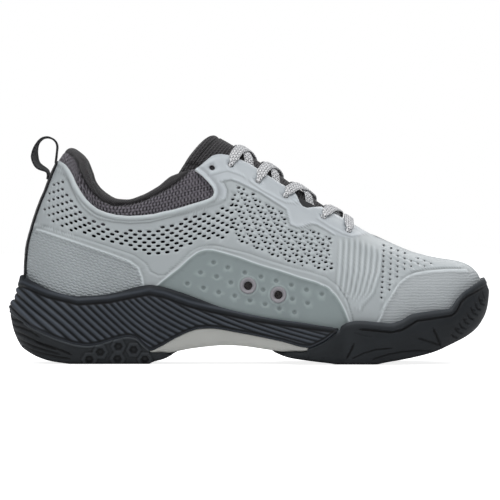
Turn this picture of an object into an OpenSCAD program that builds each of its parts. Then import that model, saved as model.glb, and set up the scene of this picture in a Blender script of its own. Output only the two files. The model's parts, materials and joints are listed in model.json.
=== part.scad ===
// Low-cut court shoe, right foot. +X points to the toe, +Y to the inner (medial) side, +Z up.
// The origin is on the ground under the middle of the heel pad.
// Every table and length below is in millimetres for a sole 300 mm long; the whole shoe scales
// with sole_len. Until it is placed, x is the distance from the rearmost point of the sole.

/* [Size] */
// Overall length of the sole, heel to toe bumper
sole_len = 300; // [270:1:320]
// Extra width of the whole shoe, added to each side
extra_w = 0; // [-2:0.5:4]

/* [Upper] */
// Thickness of the moulded perforated upper shell
shell_t = 1.2; // [0.9:0.1:1.2]
// Thickness of the toe, heel and eyestay stiffeners
stiff_t = 0.6; // [0.4:0.1:0.6]
// Thickness of the mesh lining
lining_t = 0.9; // [0.6:0.1:0.9]
// Thickness of the padded collar at the heel and ankle
collar_pad = 10; // [8:0.5:11]
// Radius of the punched lace eyelets
eyelet_r = 2.1; // [2:0.1:2.3]
// Outer radius of the round vent grommets
vent_r = 4.7; // [4:0.1:4.7]

/* [Tongue and lace] */
// Thickness of the tongue at its padded top
tongue_t = 7; // [5:0.5:8]
// Width of the flat lace on top of the tongue
lace_w = 6; // [4:0.5:6.5]
// Thickness of the flat lace
lace_t = 1.5; // [1:0.1:1.6]

/* [Sole] */
// Thickness of the rubber pads under heel and ball
rubber_t = 4; // [3:0.5:4.5]
// Thickness of the insole foam
insole_t = 3.6; // [3:0.2:5]

/* [Pull loop] */
// Width of the webbing of the pull loop
loop_w = 12; // [8:1:14]
// Thickness of the webbing
web_t = 1.1; // [0.9:0.1:1.3]

/* [Hidden] */
origin_x = 66;           // distance from the rearmost point of the sole to the origin
COLS = 40;               // columns along each side of the upper
ROWS = 12;               // rows from the sole up to the top edge
COLLAR_STEPS = 18;       // collar sections from the heel to each end
TONGUE_ROWS = 16;
TONGUE_COLS = 14;
SOLE_STEPS = 34;         // points along each side of a sole ring
MID_STEPS = 62;          // points along each side of a midsole ring
toe_x = 296.5;           // front of the upper
collar_front_x = 128;    // front ends of the padded collar
heel_top_z = 125.8;      // top of the shell at the heel
CROWN = 2.35;            // roundness of the upper's cross section

// depths of the layers under the outer surface of the upper
glue_gap = 0.25;
stiff_outer = shell_t + glue_gap + .15;
stiff_inner = stiff_outer + stiff_t;
lining_outer = stiff_inner + 0.5;
lining_inner = lining_outer + lining_t;

// ---------- side view tables, [x, height] ----------
// floor of the upper
FLOOR = [[0, 31], [40, 30], [80, 28.5], [120, 24.5], [160, 19.5], [200, 17], [230, 18],
  [260, 22.5], [285, 29], [300, 34]];
// ridge line of the upper
RIDGE = [[0, 262], [40, 240], [70, 208], [95, 168], [110, 153], [125, 145], [140, 136.5],
  [155, 127.5], [170, 117.5], [185, 107], [200, 97], [215, 87.5], [225, 80.7], [240, 74],
  [255, 68.2], [270, 65], [280, 63.4], [287, 60.8], [292, 56.5], [295, 50.5], [296.5, 42]];
// top edge of the sole
SOLE_TOP = [[5, 55.5], [12.5, 51.3], [19, 48], [31, 43.2], [44, 40.8], [56, 41.3], [69, 43.6],
  [80, 46.6], [88, 47.5], [94, 46.9], [106, 43.8], [119, 39.4], [131, 35], [144, 31.6],
  [163, 27.8], [182, 25.2], [197, 23], [204, 22.4], [210, 25.6], [216, 26.6], [237, 25],
  [244, 27], [250, 30.4], [262, 32.4], [274, 33.9], [279, 40], [283, 44], [288, 47.2],
  [294, 51], [300, 54]];
// underside of the rubber
TREAD = [[0, 28], [2, 17.5], [6, 11.3], [12.5, 6.9], [19, 3.8], [25, 2], [32, 0.8], [44, -0.3],
  [86, -0.3], [91, 1.5], [97, 3.1], [101.5, 5.2], [104.5, 6.9], [162.5, 8.2], [166, 6.6],
  [175, 3.8], [188, 1.9], [200, 0.5], [205, -0.2], [226, -0.2], [235, 1.3], [245, 3], [255, 5],
  [265, 7.7], [275, 12], [285, 16.8], [291, 21], [296, 27], [299, 33], [300, 38]];
// lower edge of the midsole wall
WALL_BOTTOM = [[0, 32.5], [6, 28.8], [12.5, 23.8], [19, 20.6], [31, 15.6], [44, 11.9],
  [50, 11.3], [56, 12.2], [69, 16], [75, 16.9], [79, 16.2], [84.5, 11.3], [89, 8.4],
  [94, 10.6], [106, 17.2], [113, 20.3], [119, 21.9], [125, 22.2], [144, 19.4], [169, 14.4],
  [186.5, 10.4], [191, 12], [197, 15.2], [203.5, 20.2], [206, 21.4]];
// underside of the shank
SHANK = [[88, 6.9], [97, 6.9], [104, 7.7], [113, 9.4], [125, 10.9], [134.5, 11.6], [144, 11.3],
  [156, 9.8], [163, 8.8], [172, 7.9], [181.5, 7.9], [188, 9]];
// collar edge of the shell
COLLAR_EDGE = [[30, 125.5], [36, 123.2], [40, 117.6], [44, 109], [51, 100], [61, 94.2],
  [77, 91.7], [94, 93.5], [112.6, 98.5], [128, 103]];
// top of the padded collar
COLLAR_TOP = [[31, 131], [36, 134.2], [39.5, 133.6], [44, 130.8], [48, 126.6], [51, 119],
  [53, 113], [59, 105.7], [67.5, 101.7], [74, 101.4], [83, 104], [93, 109.6], [101.5, 116.3],
  [117, 121], [128, 123]];

// heel line, [height, x]
HEEL = [[20, 12], [40, 10], [57, 10], [70, 10.8], [84.5, 14.2], [99.5, 19.2], [107, 22.4],
  [116, 25.8], [126, 30.2], [136, 33]];
// top edge of the shell, [run, x] and [run, height]; run goes from 0 at the heel to 1 in front
EDGE_X = [[0, 30.2], [.1, 38.5], [.17, 46.9], [.25, 61.3], [.33, 77], [.4, 93.9], [.47, 112],
  [.51, 120.5], [.54, 121.6], [.57, 123], [.61, 130], [.66, 141], [.72, 153.9], [.78, 169],
  [.84, 184.5], [.9, 200], [.95, 213], [1, 227]];
EDGE_Z = [[0, 125.8], [.1, 120.3], [.17, 104.5], [.25, 94.2], [.33, 91.7], [.4, 93.5],
  [.47, 98.3], [.51, 104.5], [.54, 113], [.57, 122], [.61, 129], [.66, 126.6], [.72, 120.1],
  [.78, 111.5], [.84, 100.5], [.9, 93.8], [.95, 86.2], [1, 79.85]];
// front line of the vamp, [rise, x]; rise goes from 0 at the floor to 1 at the top edge
VAMP = [[0, 296.5], [.1, 296.5], [.2, 295], [.3, 291], [.4, 283], [.52, 270], [.68, 255],
  [.84, 241], [1, 227]];

// ---------- plan view tables, [x, half width] ----------
UPPER_LATERAL = [[0, 34.5], [90, 35], [120, 36.5], [150, 41], [180, 46.5], [205, 51],
  [225, 53], [245, 52.5], [296, 50]];
UPPER_MEDIAL = [[0, 34.5], [90, 33.5], [120, 31], [150, 32], [180, 38], [205, 44], [225, 46],
  [245, 46], [296, 44]];
SOLE_LATERAL = [[0, 41.5], [45, 42], [90, 41], [120, 41], [150, 45.5], [180, 52], [205, 57],
  [225, 59], [245, 58.5], [300, 56]];
SOLE_MEDIAL = [[0, 41.5], [45, 42], [90, 39], [120, 35.5], [150, 36.5], [180, 43],
  [205, 49.5], [225, 52], [245, 52], [300, 50]];
// ridge line, [x, y]
CENTRE = [[0, 0], [90, 0], [120, 0.5], [150, 2], [180, 3], [205, 4], [225, 5], [296, 6]];

// ---------- hole centres on each side, [x, height] ----------
// lace eyelets, top pair first
EYELETS = [[126.7, 121.7], [138.3, 123.4], [155.2, 113.3], [172.1, 104], [195.8, 90.9],
  [211.3, 82.2]];
VENTS = [[149, 48.5], [167.7, 42.9]];

// ---------- numbers and curves ----------
function clamp(value, low, high) = min(max(value, low), high);
function mix(a, b, share) = a + (b - a) * share;
function smoothstep(from, to, value) =
  let (share = clamp((value - from) / (to - from), 0, 1)) share * share * (3 - 2 * share);
function unit(v) = v / max(1e-9, norm(v));
function flat(list) = [for (part = list) for (item = part) item];
function rev(list) = [for (i = [len(list) - 1:-1:0]) list[i]];

// index of the table interval that holds x
function span(table, x, i = 0) =
  (i >= len(table) - 2 || x < table[i + 1][0]) ? i : span(table, x, i + 1);
function chord(table, i) = (table[i + 1][1] - table[i][1]) / (table[i + 1][0] - table[i][0]);
function slope(table, i) = i <= 0 ? chord(table, 0)
  : i >= len(table) - 1 ? chord(table, len(table) - 2)
  : let (before = chord(table, i - 1), after = chord(table, i))
    before * after <= 0 ? 0 : 2 * before * after / (before + after);
// smooth monotone curve through the points of a table, held level past its ends
function curve(table, x) = x <= table[0][0] ? table[0][1]
  : x >= table[len(table) - 1][0] ? table[len(table) - 1][1]
  : let (i = span(table, x), p = table[i], q = table[i + 1], h = q[0] - p[0],
         u = (x - p[0]) / h)
    (1 + 2 * u) * (1 - u) * (1 - u) * p[1] + u * (1 - u) * (1 - u) * h * slope(table, i)
    + u * u * (3 - 2 * u) * q[1] + u * u * (u - 1) * h * slope(table, i + 1);

// place 0..1..0 of point i on a ring with n points per side, closest together at both ends
function half_run(i, n) = (1 - cos(180 * (i <= n ? i : 2 * n - i) / n)) / 2;
// direction of a path at its point i
function tangent(path, i) = unit(path[min(len(path) - 1, i + 1)] - path[max(0, i - 1)]);

// ---------- surface of the upper; side is -1 lateral, 1 medial ----------
function heel_x(z) = curve(HEEL, z);
function floor_z(x) = curve(FLOOR, x);
function centre_y(x) = curve(CENTRE, x);
function upper_w(side, x) = curve(side < 0 ? UPPER_LATERAL : UPPER_MEDIAL, x) + extra_w;
floor_heel_x = heel_x(31);

// end rounding of a plan outline, reach 0 at the end and 1 where the full width is met
function round_end(reach, power) =
  pow(max(0, 1 - pow(1 - clamp(reach, 0, 1), power)), 1 / power);
function heel_round(distance) = round_end(distance / 35, 2);
function toe_round(x, inset) = round_end((toe_x - inset - x) / 75, 2.2);

// half width of the upper at side-view point (x, z), at a depth below its outer surface
function half_width(side, x, z, depth) =
  let (base = floor_z(x), top = curve(RIDGE, x) - 1.12 * depth,
       rise = clamp((z - base) / max(0.01, top - base), 0, 1))
  (upper_w(side, x) - depth) * heel_round(x - heel_x(z) - depth) * toe_round(x, depth)
  * sqrt(max(0, 1 - pow(rise, CROWN)));
function skin(side, x, z, depth = 0) =
  [x, centre_y(x) + side * half_width(side, x, z, depth), z];
function skin_normal(side, x, z) =
  let (e = 0.4, along = skin(side, x + e, z) - skin(side, x - e, z),
       up = skin(side, x, z + e) - skin(side, x, z - e))
  side * unit(cross(up, along));
// height of the outer surface over plan point (x, y)
function skin_z(x, y) =
  let (off = y - centre_y(x), base = floor_z(x),
       share = clamp(abs(off) / upper_w(off < 0 ? -1 : 1, x), 0, 1))
  base + (curve(RIDGE, x) - base) * pow(max(0, 1 - pow(share, 2)), 1 / CROWN);

// ---------- the upper as a grid: rings of 2*COLS points, from the floor to the top edge ----------
// the four borders of one side, as [x, height]
function top_line(s) = [curve(EDGE_X, s), curve(EDGE_Z, s)];
function floor_line(s) = let (x = mix(floor_heel_x, toe_x, s)) [x, floor_z(x)];
function heel_line(v) = let (z = mix(floor_z(10), heel_top_z, v)) [heel_x(z), z];
function vamp_line(v) = let (x = curve(VAMP, v))
  [x, v < .1 ? mix(floor_z(toe_x), 42, v * 10) : curve(RIDGE, x)];
// Coons patch between the borders: s from heel to toe, v from floor to top edge
function side_view(s, v) = (1 - v) * floor_line(s) + v * top_line(s)
  + (1 - s) * heel_line(v) + s * vamp_line(v)
  - (1 - s) * (1 - v) * floor_line(0) - s * (1 - v) * floor_line(1)
  - (1 - s) * v * top_line(0) - s * v * top_line(1);
function grid_point(i, v) = let (q = side_view(half_run(i, COLS), v))
  i % COLS == 0 ? [q[0], centre_y(q[0]), q[1]] : skin(i <= COLS ? -1 : 1, q[0], q[1]);
SHELL = [for (j = [0:ROWS]) [for (i = [0:2 * COLS - 1]) grid_point(i, j / ROWS)]];

function grid_normal(grid, j, i) = let (n = len(grid[0]))
  unit(cross(grid[j][(i + 1) % n] - grid[j][(i + n - 1) % n],
             grid[min(len(grid) - 1, j + 1)][i] - grid[max(0, j - 1)][i]));
function inset_grid(grid, depth) = [for (j = [0:len(grid) - 1])
  [for (i = [0:len(grid[0]) - 1]) grid[j][i] - depth * grid_normal(grid, j, i)]];
function patch(grid, col_from, col_to, row_from, row_to) = let (n = len(grid[0]))
  [for (j = [row_from:row_to]) [for (i = [col_from:col_to]) grid[j][(i + n) % n]]];

// ---------- solids from grids ----------
function quad(a, b, c, d) = [[a, b, c], [a, c, d]];
function flip(faces) = [for (face = faces) rev(face)];
// wall through the first steps + 1 of a number of rings of n points; the last leads to the first
function ring_walls(n, rings, steps) = flat([for (j = [0:steps - 1]) for (i = [0:n - 1])
  let (low = j * n, high = ((j + 1) % rings) * n, next = (i + 1) % n)
  quad(low + i, high + i, high + next, low + next)]);

// shell open at both ends, between two grids of rings
module band(outer, inner) {
  rings = concat(outer, rev(inner));
  polyhedron(points = flat(rings), faces = ring_walls(len(rings[0]), len(rings), len(rings)),
    convexity = 8);
}

// ladder across a ring of n points that starts at point index start
function ladder(n, start) = let (h = n / 2) flat([for (i = [0:h - 1])
  let (a = start + i, b = a + 1, c = start + (n - i - 1) % n, d = start + (n - i) % n)
  concat(i == 0 ? [] : [[a, b, d]], i == h - 1 ? [] : [[b, c, d]])]);
// rings with point 0 at the heel end and the middle one at the toe end, closed by ladders
module loft(rings) {
  n = len(rings[0]);
  steps = len(rings) - 1;
  polyhedron(points = flat(rings), faces = concat(ring_walls(n, steps + 1, steps),
    ladder(n, 0), flip(ladder(n, steps * n))), convexity = 8);
}

// sheet between two open grids of the same size
module slab(outer, inner) {
  rows = len(outer);
  n = len(outer[0]);
  half = rows * n;
  function leaf(start) = flat([for (j = [0:rows - 2]) for (i = [0:n - 2])
    let (p = start + j * n + i) quad(p, p + n, p + n + 1, p + 1)]);
  function rim(start, step, count) = flat([for (i = [0:count - 1])
    let (p = start + i * step) quad(p, p + step, p + step + half, p + half)]);
  polyhedron(points = concat(flat(outer), flat(inner)), faces = concat(
    leaf(0), flip(leaf(half)), rim(0, 1, n - 1), flip(rim((rows - 1) * n, 1, n - 1)),
    flip(rim(0, n, rows - 1)), rim(n - 1, n, rows - 1)), convexity = 8);
}

// stack of closed sections with flat end caps
module rod(sections) {
  n = len(sections[0]);
  steps = len(sections) - 1;
  last = steps * n;
  polyhedron(points = flat([for (section = sections) rev(section)]), faces = concat(
    flip(ring_walls(n, steps + 1, steps)), [for (i = [1:n - 2]) [0, i + 1, i]],
    [for (i = [1:n - 2]) [last, last + i, last + i + 1]]), convexity = 8);
}

// ---------- placing ----------
module placed() { scale(sole_len / 300) translate([-origin_x, 0, 0]) children(); }
// turns +Z to a unit direction
module aim(dir) { rotate([0, acos(dir[2]), atan2(dir[1], dir[0])]) children(); }
// puts its children on the surface, +Z outwards, at [x, height] spots of both sides
module at_each(spots) {
  for (side = [-1, 1]) for (spot = spots)
    translate(skin(side, spot[0], spot[1])) aim(skin_normal(side, spot[0], spot[1])) children();
}
module drill(r) { translate([0, 0, -5]) cylinder(r = r, h = 8, $fn = 32); }
module eyelet_holes() { at_each(EYELETS) drill(eyelet_r); }

// ---------- upper ----------
module upper_shell() color([0.66, 0.69, 0.70]) difference() {
  band(SHELL, inset_grid(SHELL, shell_t));
  eyelet_holes();
  at_each(VENTS) drill(vent_r + 0.1);
}

module stiffener(col_from, col_to, row_from, row_to) {
  slab(patch(inset_grid(SHELL, stiff_outer), col_from, col_to, row_from, row_to),
       patch(inset_grid(SHELL, stiff_inner), col_from, col_to, row_from, row_to));
}
module toe_puff() color([0.85, 0.83, 0.78]) stiffener(COLS - 13, COLS + 13, 1, 4);
module heel_counter() color([0.85, 0.83, 0.78]) stiffener(-15, 15, 1, 6);
module eyestay_reinforcement() color([0.8, 0.8, 0.8]) difference() {
  union() {
    stiffener(22, 34, ROWS - 2, ROWS);
    stiffener(2 * COLS - 34, 2 * COLS - 22, ROWS - 2, ROWS);
  }
  eyelet_holes();
}

// the lining stops below the padded collar, and runs almost to the edge under the eyestay
function lining_v(i, j) = let (stay = smoothstep(.645, .7, half_run(i, COLS)))
  j < ROWS - 2 ? j / ROWS * mix(.96, 1, stay)
  : j == ROWS - 2 ? mix(.765, j / ROWS, stay) : mix(.8, .985, stay);
LINING = [for (j = [0:ROWS - 1]) [for (i = [0:2 * COLS - 1]) grid_point(i, lining_v(i, j))]];
module mesh_lining() color([0.12, 0.12, 0.13]) difference() {
  band(inset_grid(LINING, lining_outer), inset_grid(LINING, lining_inner));
  eyelet_holes();
}

// ---------- padded collar: a roll round the heel from one eyestay to the other ----------
// turn goes from -1 at the lateral front over 0 at the heel to 1 at the medial front
function collar_x(turn, back_x) = mix(back_x, collar_front_x, 1 - cos(90 * abs(turn)));
function collar_point(turn, z, depth) = let (x = collar_x(turn, heel_x(z) + depth))
  turn == 0 ? [x, 0, z] : skin(turn < 0 ? -1 : 1, x, z, depth);
function collar_t(turn) = mix(
  mix(collar_pad, .7 * collar_pad, smoothstep(.1, .5, abs(turn))), 3.4,
  smoothstep(.6, .95, abs(turn)));
// section of the roll, shrunk on every side: outer leaf up, over the top, inner leaf down
function collar_section(turn, shrink) =
  let (top = curve(COLLAR_TOP, collar_x(turn, 33)) - shrink,
       bottom = curve(COLLAR_EDGE, collar_x(turn, 24)) - 8 + shrink,
       full_r = collar_t(turn) / 2, middle = lining_outer + full_r, r = full_r - shrink,
       bend = top - r)
  [for (t = [0, .35, .7]) collar_point(turn, mix(bottom, bend, t), lining_outer + shrink),
   for (a = [180:-30:0]) collar_point(turn, bend + r * sin(a), middle + r * cos(a)),
   for (t = [.75, .5, .25, 0]) collar_point(turn, mix(bottom, bend, t),
     mix(lining_outer + 2.8, middle + full_r, sqrt(t / .75)) - shrink)];
function collar_roll(shrink) = [for (i = [0:2 * COLLAR_STEPS])
  collar_section((i - COLLAR_STEPS) / COLLAR_STEPS, shrink)];
module collar_lining() color([0.2, 0.2, 0.22]) slab(collar_roll(0), collar_roll(0.7));
module collar_foam() color([0.9, 0.85, 0.6]) rod(collar_roll(1.15));

// ---------- tongue ----------
// half width of the open throat, [x, half width]
THROAT = [[112, 23], [126, 19.3], [140, 15.6], [155, 16], [170, 16], [190, 14], [205, 8.5],
  [226, 3]];
// wrap of the tongue, [x, degrees each side]
WRAP = [[100, 38], [130, 40], [160, 35], [200, 26], [226, 18]];
function throat(x) = curve(THROAT, x);
// depth of the tongue's outer face under the upper's surface, y off the centre line
function sink(x, y) = mix(1.3, mix(9.3, 7.6, smoothstep(126, 144, x)),
  smoothstep(.12 * throat(x), .8 * throat(x), y));
// row from 0 at the top edge to 1 at the toe end, across from -1 to 1, depth below the outer face
function tongue_point(row, across, depth) =
  let (x = mix(125.5, 222, row) - 20 * (1 - row) * pow(abs(across), 1.8),
       angle = 90 - abs(across) * curve(WRAP, x), side = across < 0 ? -1 : 1,
       width = upper_w(side, x), total = sink(x, (width - 4) * cos(angle)) + depth,
       base = floor_z(x), top = curve(RIDGE, x) - 1.19 * total)
  [x, centre_y(x) + side * (width - total) * cos(angle),
   base + (top - base) * pow(sin(angle), 2 / CROWN)];
// leaf at a fixed depth plus a share of the padding, which thins to the toe and the sides
function tongue_leaf(depth, share = 0) = [for (j = [0:TONGUE_ROWS])
  let (row = j / TONGUE_ROWS, padding = mix(tongue_t, 3.2, smoothstep(.1, .75, row)))
  [for (i = [0:TONGUE_COLS]) let (across = -1 + 2 * i / TONGUE_COLS)
    tongue_point(row, across, depth + share * padding * (1 - pow(abs(across), 3) * .5))]];
module tongue_face() color([0.2, 0.2, 0.22]) slab(tongue_leaf(0), tongue_leaf(0.7));
module tongue_foam() color([0.9, 0.85, 0.6]) slab(tongue_leaf(0.8), tongue_leaf(0.2, .84));
module tongue_lining() color([0.12, 0.12, 0.13])
  slab(tongue_leaf(0.3, .84), tongue_leaf(1, .84));

// ---------- lace: one flat cord from the second eyelet pair down, its tails tucked inside ----------
// heights over the surface of the points where the lace goes through an eyelet
THROUGH = [-4.9, -1.5, 1.2];
// tucked tail, [x, height, depth]
TAIL = [[143.8, 95, 6.6], [142.6, 101, 5.8], [141.3, 108, 4.95], [139.8, 115.5, 4.9]];
function eyelet_point(side, i, lift) = let (x = EYELETS[i][0], z = EYELETS[i][1])
  skin(side, x, z) + lift * skin_normal(side, x, z);
function through_eyelet(side, i) = [for (lift = THROUGH) eyelet_point(side, i, lift)];
// point lifted off the surface over the plan place of p
function over_skin(p, lift) =
  let (e = 0.5, x = p[0], y = p[1],
       along = [2 * e, 0, skin_z(x + e, y) - skin_z(x - e, y)],
       across = [0, 2 * e, skin_z(x, y + e) - skin_z(x, y - e)])
  [x, y, skin_z(x, y)] + lift * unit(cross(along, across));
// out through eyelet i and over to the inside of eyelet i+1 on the other side;
// the strand from the lateral side lies over the other
function crossing(side, i) =
  let (a = eyelet_point(side, i, 0), b = eyelet_point(-side, i + 1, 0),
       top = side < 0 ? 2.1 : .3)
  concat(through_eyelet(side, i),
    [for (t = [.1, .22, .36, .5, .62, .7, .76, .82, .88])
      let (p = mix(a, b, t), half = throat(p[0]), off = abs(p[1] - centre_y(p[0])))
      over_skin(p, t < .5 ? mix(1.5, top, smoothstep(.1, .4, t))
        : mix(top, -5.3, smoothstep(.46 * half, .88 * half, off)))]);
function half_lace(side) = concat([for (p = TAIL) skin(side, p[0], p[1], p[2])],
  [for (i = [1:4]) each crossing(i % 2 == 1 ? side : -side, i)], through_eyelet(side, 5));
// straight run between the lowest pair of eyelets
BAR = [for (t = [.15, .32, .5, .68, .85])
  over_skin(mix(eyelet_point(-1, 5, 0), eyelet_point(1, 5, 0), t), 1.6)];
LACE_PATH = concat(half_lace(-1), BAR, rev(half_lace(1)));
THROUGH_POINTS = [for (side = [-1, 1]) for (i = [1:5]) each through_eyelet(side, i)];
// eight-sided section, gathered narrow near the eyelets
function lace_section(i) =
  let (p = LACE_PATH[i], along = tangent(LACE_PATH, i), lean = [.86, 0, -.5],
       flat_dir = unit(lean - (lean * along) * along), thick_dir = cross(along, flat_dir),
       near = min([for (q = THROUGH_POINTS) norm(p - q)]),
       half_w = mix(1.4, lace_w / 2, smoothstep(2, 15, near)))
  [for (a = [22.5:45:360]) p + half_w * cos(a) * flat_dir + lace_t / 2 * sin(a) * thick_dir];
module lace() color([0.85, 0.85, 0.86])
  rod([for (i = [0:len(LACE_PATH) - 1]) lace_section(i)]);

module lace_aglets() color([0.95, 0.95, 0.95]) for (path = [LACE_PATH, rev(LACE_PATH)]) {
  dir = unit(path[0] - path[1]);
  translate(path[0] + .2 * dir) aim(dir) cylinder(r = 1.3, h = 13.8, $fn = 24);
}

// ---------- vents ----------
module vent_grommets() color([0.6, 0.58, 0.6]) at_each(VENTS) translate([0, 0, -1.1])
  rotate_extrude($fn = 48) polygon([[2.7, 0], [vent_r, 0], [vent_r, 1.2],
    [vent_r - .5, 1.7], [vent_r - 1.1, 1.5], [2.7, .9]]);
module vent_mesh() color([0.15, 0.15, 0.16])
  at_each(VENTS) translate([0, 0, -.9]) cylinder(r = 2.62, h = .4, $fn = 48);

// ---------- heel tape and pull loop ----------
function tape_leaf(lift) = [for (j = [0:12]) let (z = mix(57.5, 125, j / 12))
  [for (y = [8, 4, 0, -4, -8]) [heel_x(z) - lift + y * y / 62, y, z]]];
module heel_tape() color([0.1, 0.1, 0.11]) slab(tape_leaf(.3 + web_t), tape_leaf(.3));

// middle line of the webbing, [x, height]
LOOP = [[28.9, 127.4], [29.5, 132], [29.9, 136], [28.6, 139.2], [25.7, 141], [23, 141.5],
  [20, 140.7], [16.9, 138.2], [15, 134], [14.4, 129], [15.2, 125.2], [17.2, 122],
  [19.8, 119.8], [22, 117.6], [22.6, 115.4], [22.2, 113.6]];
function loop_section(i) =
  let (along = tangent(LOOP, i), half = web_t / 2 * [-along[1], along[0]],
       a = LOOP[i] + half, b = LOOP[i] - half, y = loop_w / 2)
  [[a[0], -y, a[1]], [a[0], y, a[1]], [b[0], y, b[1]], [b[0], -y, b[1]]];
module pull_loop() color([0.1, 0.1, 0.11]) rod([for (i = [0:len(LOOP) - 1]) loop_section(i)]);

// ---------- heights and rings of the sole ----------
function sole_top(x) = curve(SOLE_TOP, x);
function tread(x) = curve(TREAD, x);
function shank(x) = curve(SHANK, x);
function wall_bottom(x) = x > 206 ? sole_top(x) - 1 : curve(WALL_BOTTOM, x);
function pad_top(x) = max(tread(x), 0) + rubber_t;
// inner depth of the heel rubber's cup
function heel_cup(x) =
  min(pad_top(x) + .3, mix(wall_bottom(x) - .4, shank(x) - .3, smoothstep(84, 90, x)));
// top edge of the forefoot rubber: under the shank, up the diagonal, then the sole's top edge
function fore_edge(x) = x < 186 ? shank(x) - .35
  : x < 206 ? max(shank(x) - .35, wall_bottom(x) - .65) : sole_top(x);
function fore_cup(x) = min(fore_edge(x) - .9, pad_top(x), floor_z(x) - 1.5);
function shank_top(x) = max(shank(x) + .35, wall_bottom(x) - .4);
// hidden underside of the midsole
function mid_bottom(x) = x <= 87 ? max(heel_cup(x), 6.9) + .3
  : x >= 203 ? min(pad_top(x) + .7, floor_z(x) - .9)
  : x > 195 ? min(wall_bottom(x), floor_z(x) - 2) : wall_bottom(x);

SOLE_RUNS = [for (i = [0:2 * SOLE_STEPS - 1]) half_run(i, SOLE_STEPS)];
// ring from x_from to x_to; half_at(side, x) gives its half width, z_at(x) its height
function plan_ring(runs, x_from, x_to, half_at, z_at) = let (n = len(runs) / 2)
  [for (i = [0:2 * n - 1]) let (x = mix(x_from, x_to, runs[i]), side = i <= n ? -1 : 1)
    [x, centre_y(x) + (i % n == 0 ? 0 : side * half_at(side, x)), z_at(x)]];
function sole_w(side, x, inset) =
  curve(side < 0 ? SOLE_LATERAL : SOLE_MEDIAL, x) + extra_w - inset;
// back_len and front_len are the lengths of the rounded ends
function sole_ring(x_from, x_to, inset, back_len, front_len, front_power, z_at) =
  plan_ring(SOLE_RUNS, x_from, x_to, function (side, x) sole_w(side, x, inset)
    * round_end((x - x_from) / back_len, 2)
    * round_end((x_to - x) / front_len, front_power), z_at);
module below_ground() { translate([-20, -80, -10]) cube([340, 160, 10]); }

// ---------- rubber and shank ----------
module outsole_heel() color([0.13, 0.14, 0.15]) difference() {
  loft([
    sole_ring(7, 103, 5, 34, 12, 3, function (x) tread(x)),
    sole_ring(2, 104, 1.8, 38, 12, 3, function (x) mix(tread(x), wall_bottom(min(x, 88)), .3)),
    sole_ring(.3, 104.5, .5, 40, 12, 3, function (x)
      x > 88 ? mix(tread(x), 6.8, .7) : mix(tread(x), wall_bottom(x), .65)),
    sole_ring(0, 104.5, 0, 40, 12, 3, function (x) x > 88 ? 6.75 : wall_bottom(x) - .5),
    sole_ring(2.6, 104, 2.6, 38, 12, 3, function (x) x > 88 ? 6.7 : wall_bottom(x) - .5),
    sole_ring(5, 103, 3.2, 36, 12, 3, function (x) min(heel_cup(x), 6.65 + max(0, 88 - x)))]);
  below_ground();
}

// inner ring of the forefoot rubber: inside the sole at the back, round the upper in front
function hug_ring(gap, x_from, inset, z_at) =
  plan_ring(SOLE_RUNS, x_from, toe_x + gap, function (side, x) mix(
    sole_w(side, x, inset) * round_end((x - x_from) / 14, 2),
    (upper_w(side, x) + gap) * toe_round(x, -gap), smoothstep(204, 210, x)), z_at);
// outer wall, rolled top edge, then down inside against the upper's toe and the midsole
module outsole_forefoot() color([0.13, 0.14, 0.15]) difference() {
  loft([
    sole_ring(163, 293, 6, 14, 70, 2.2, function (x) tread(x)),
    sole_ring(162, 298.9, 2, 14, 74, 2.2, function (x)
      mix(tread(x), fore_edge(x), mix(.3, .08, smoothstep(272, 298, x)))),
    sole_ring(161.5, 300, .4, 14, 76, 2.2, function (x) mix(tread(x), fore_edge(x), .62)),
    sole_ring(161.5, 299.3, 1, 14, 76, 2.2, function (x) fore_edge(x) - .4),
    sole_ring(163, 298.4, 2, 14, 76, 2.2, function (x) fore_edge(x)),
    hug_ring(1.2, 164, 3.2, function (x) fore_edge(x) - .5),
    hug_ring(.7, 164.5, 3.8, function (x) mix(fore_edge(x), fore_cup(x), .5)),
    hug_ring(.65, 165, 4.4, function (x) fore_cup(x))]);
  below_ground();
}

module shank_plate() color([0.8, 0.8, 0.77]) loft([
  sole_ring(90.5, 188, 2.4, 12, 12, 2.5, function (x) shank(x)),
  sole_ring(89.8, 189, .9, 12, 12, 2.5, function (x) mix(shank(x), shank_top(x), .4)),
  sole_ring(89.8, 188.6, .5, 12, 12, 2.5, function (x) shank_top(x))]);

// ---------- midsole ----------
// stations, [run, distance along], closest where the lower edge bends most
STATIONS = [[0, 0], [.035, 1.2], [.07, 4.5], [.115, 11.5], [.17, 22], [.235, 38], [.3, 55],
  [.345, 66], [.42, 78], [.5, 91], [.545, 100], [.6, 118], [.64, 140], [.69, 165],
  [.735, 188], [.755, 196], [.8, 207], [.83, 218], [.87, 238], [.905, 254], [.935, 268],
  [.96, 279], [.98, 287.5], [.992, 292], [1, 294]];
MID_RUNS = [for (i = [0:2 * MID_STEPS - 1])
  curve(STATIONS, (i <= MID_STEPS ? i : 2 * MID_STEPS - i) / MID_STEPS) / 294];
function waist(x, inside, outside) = x > 90 && x < 186 ? inside : outside;
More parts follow.
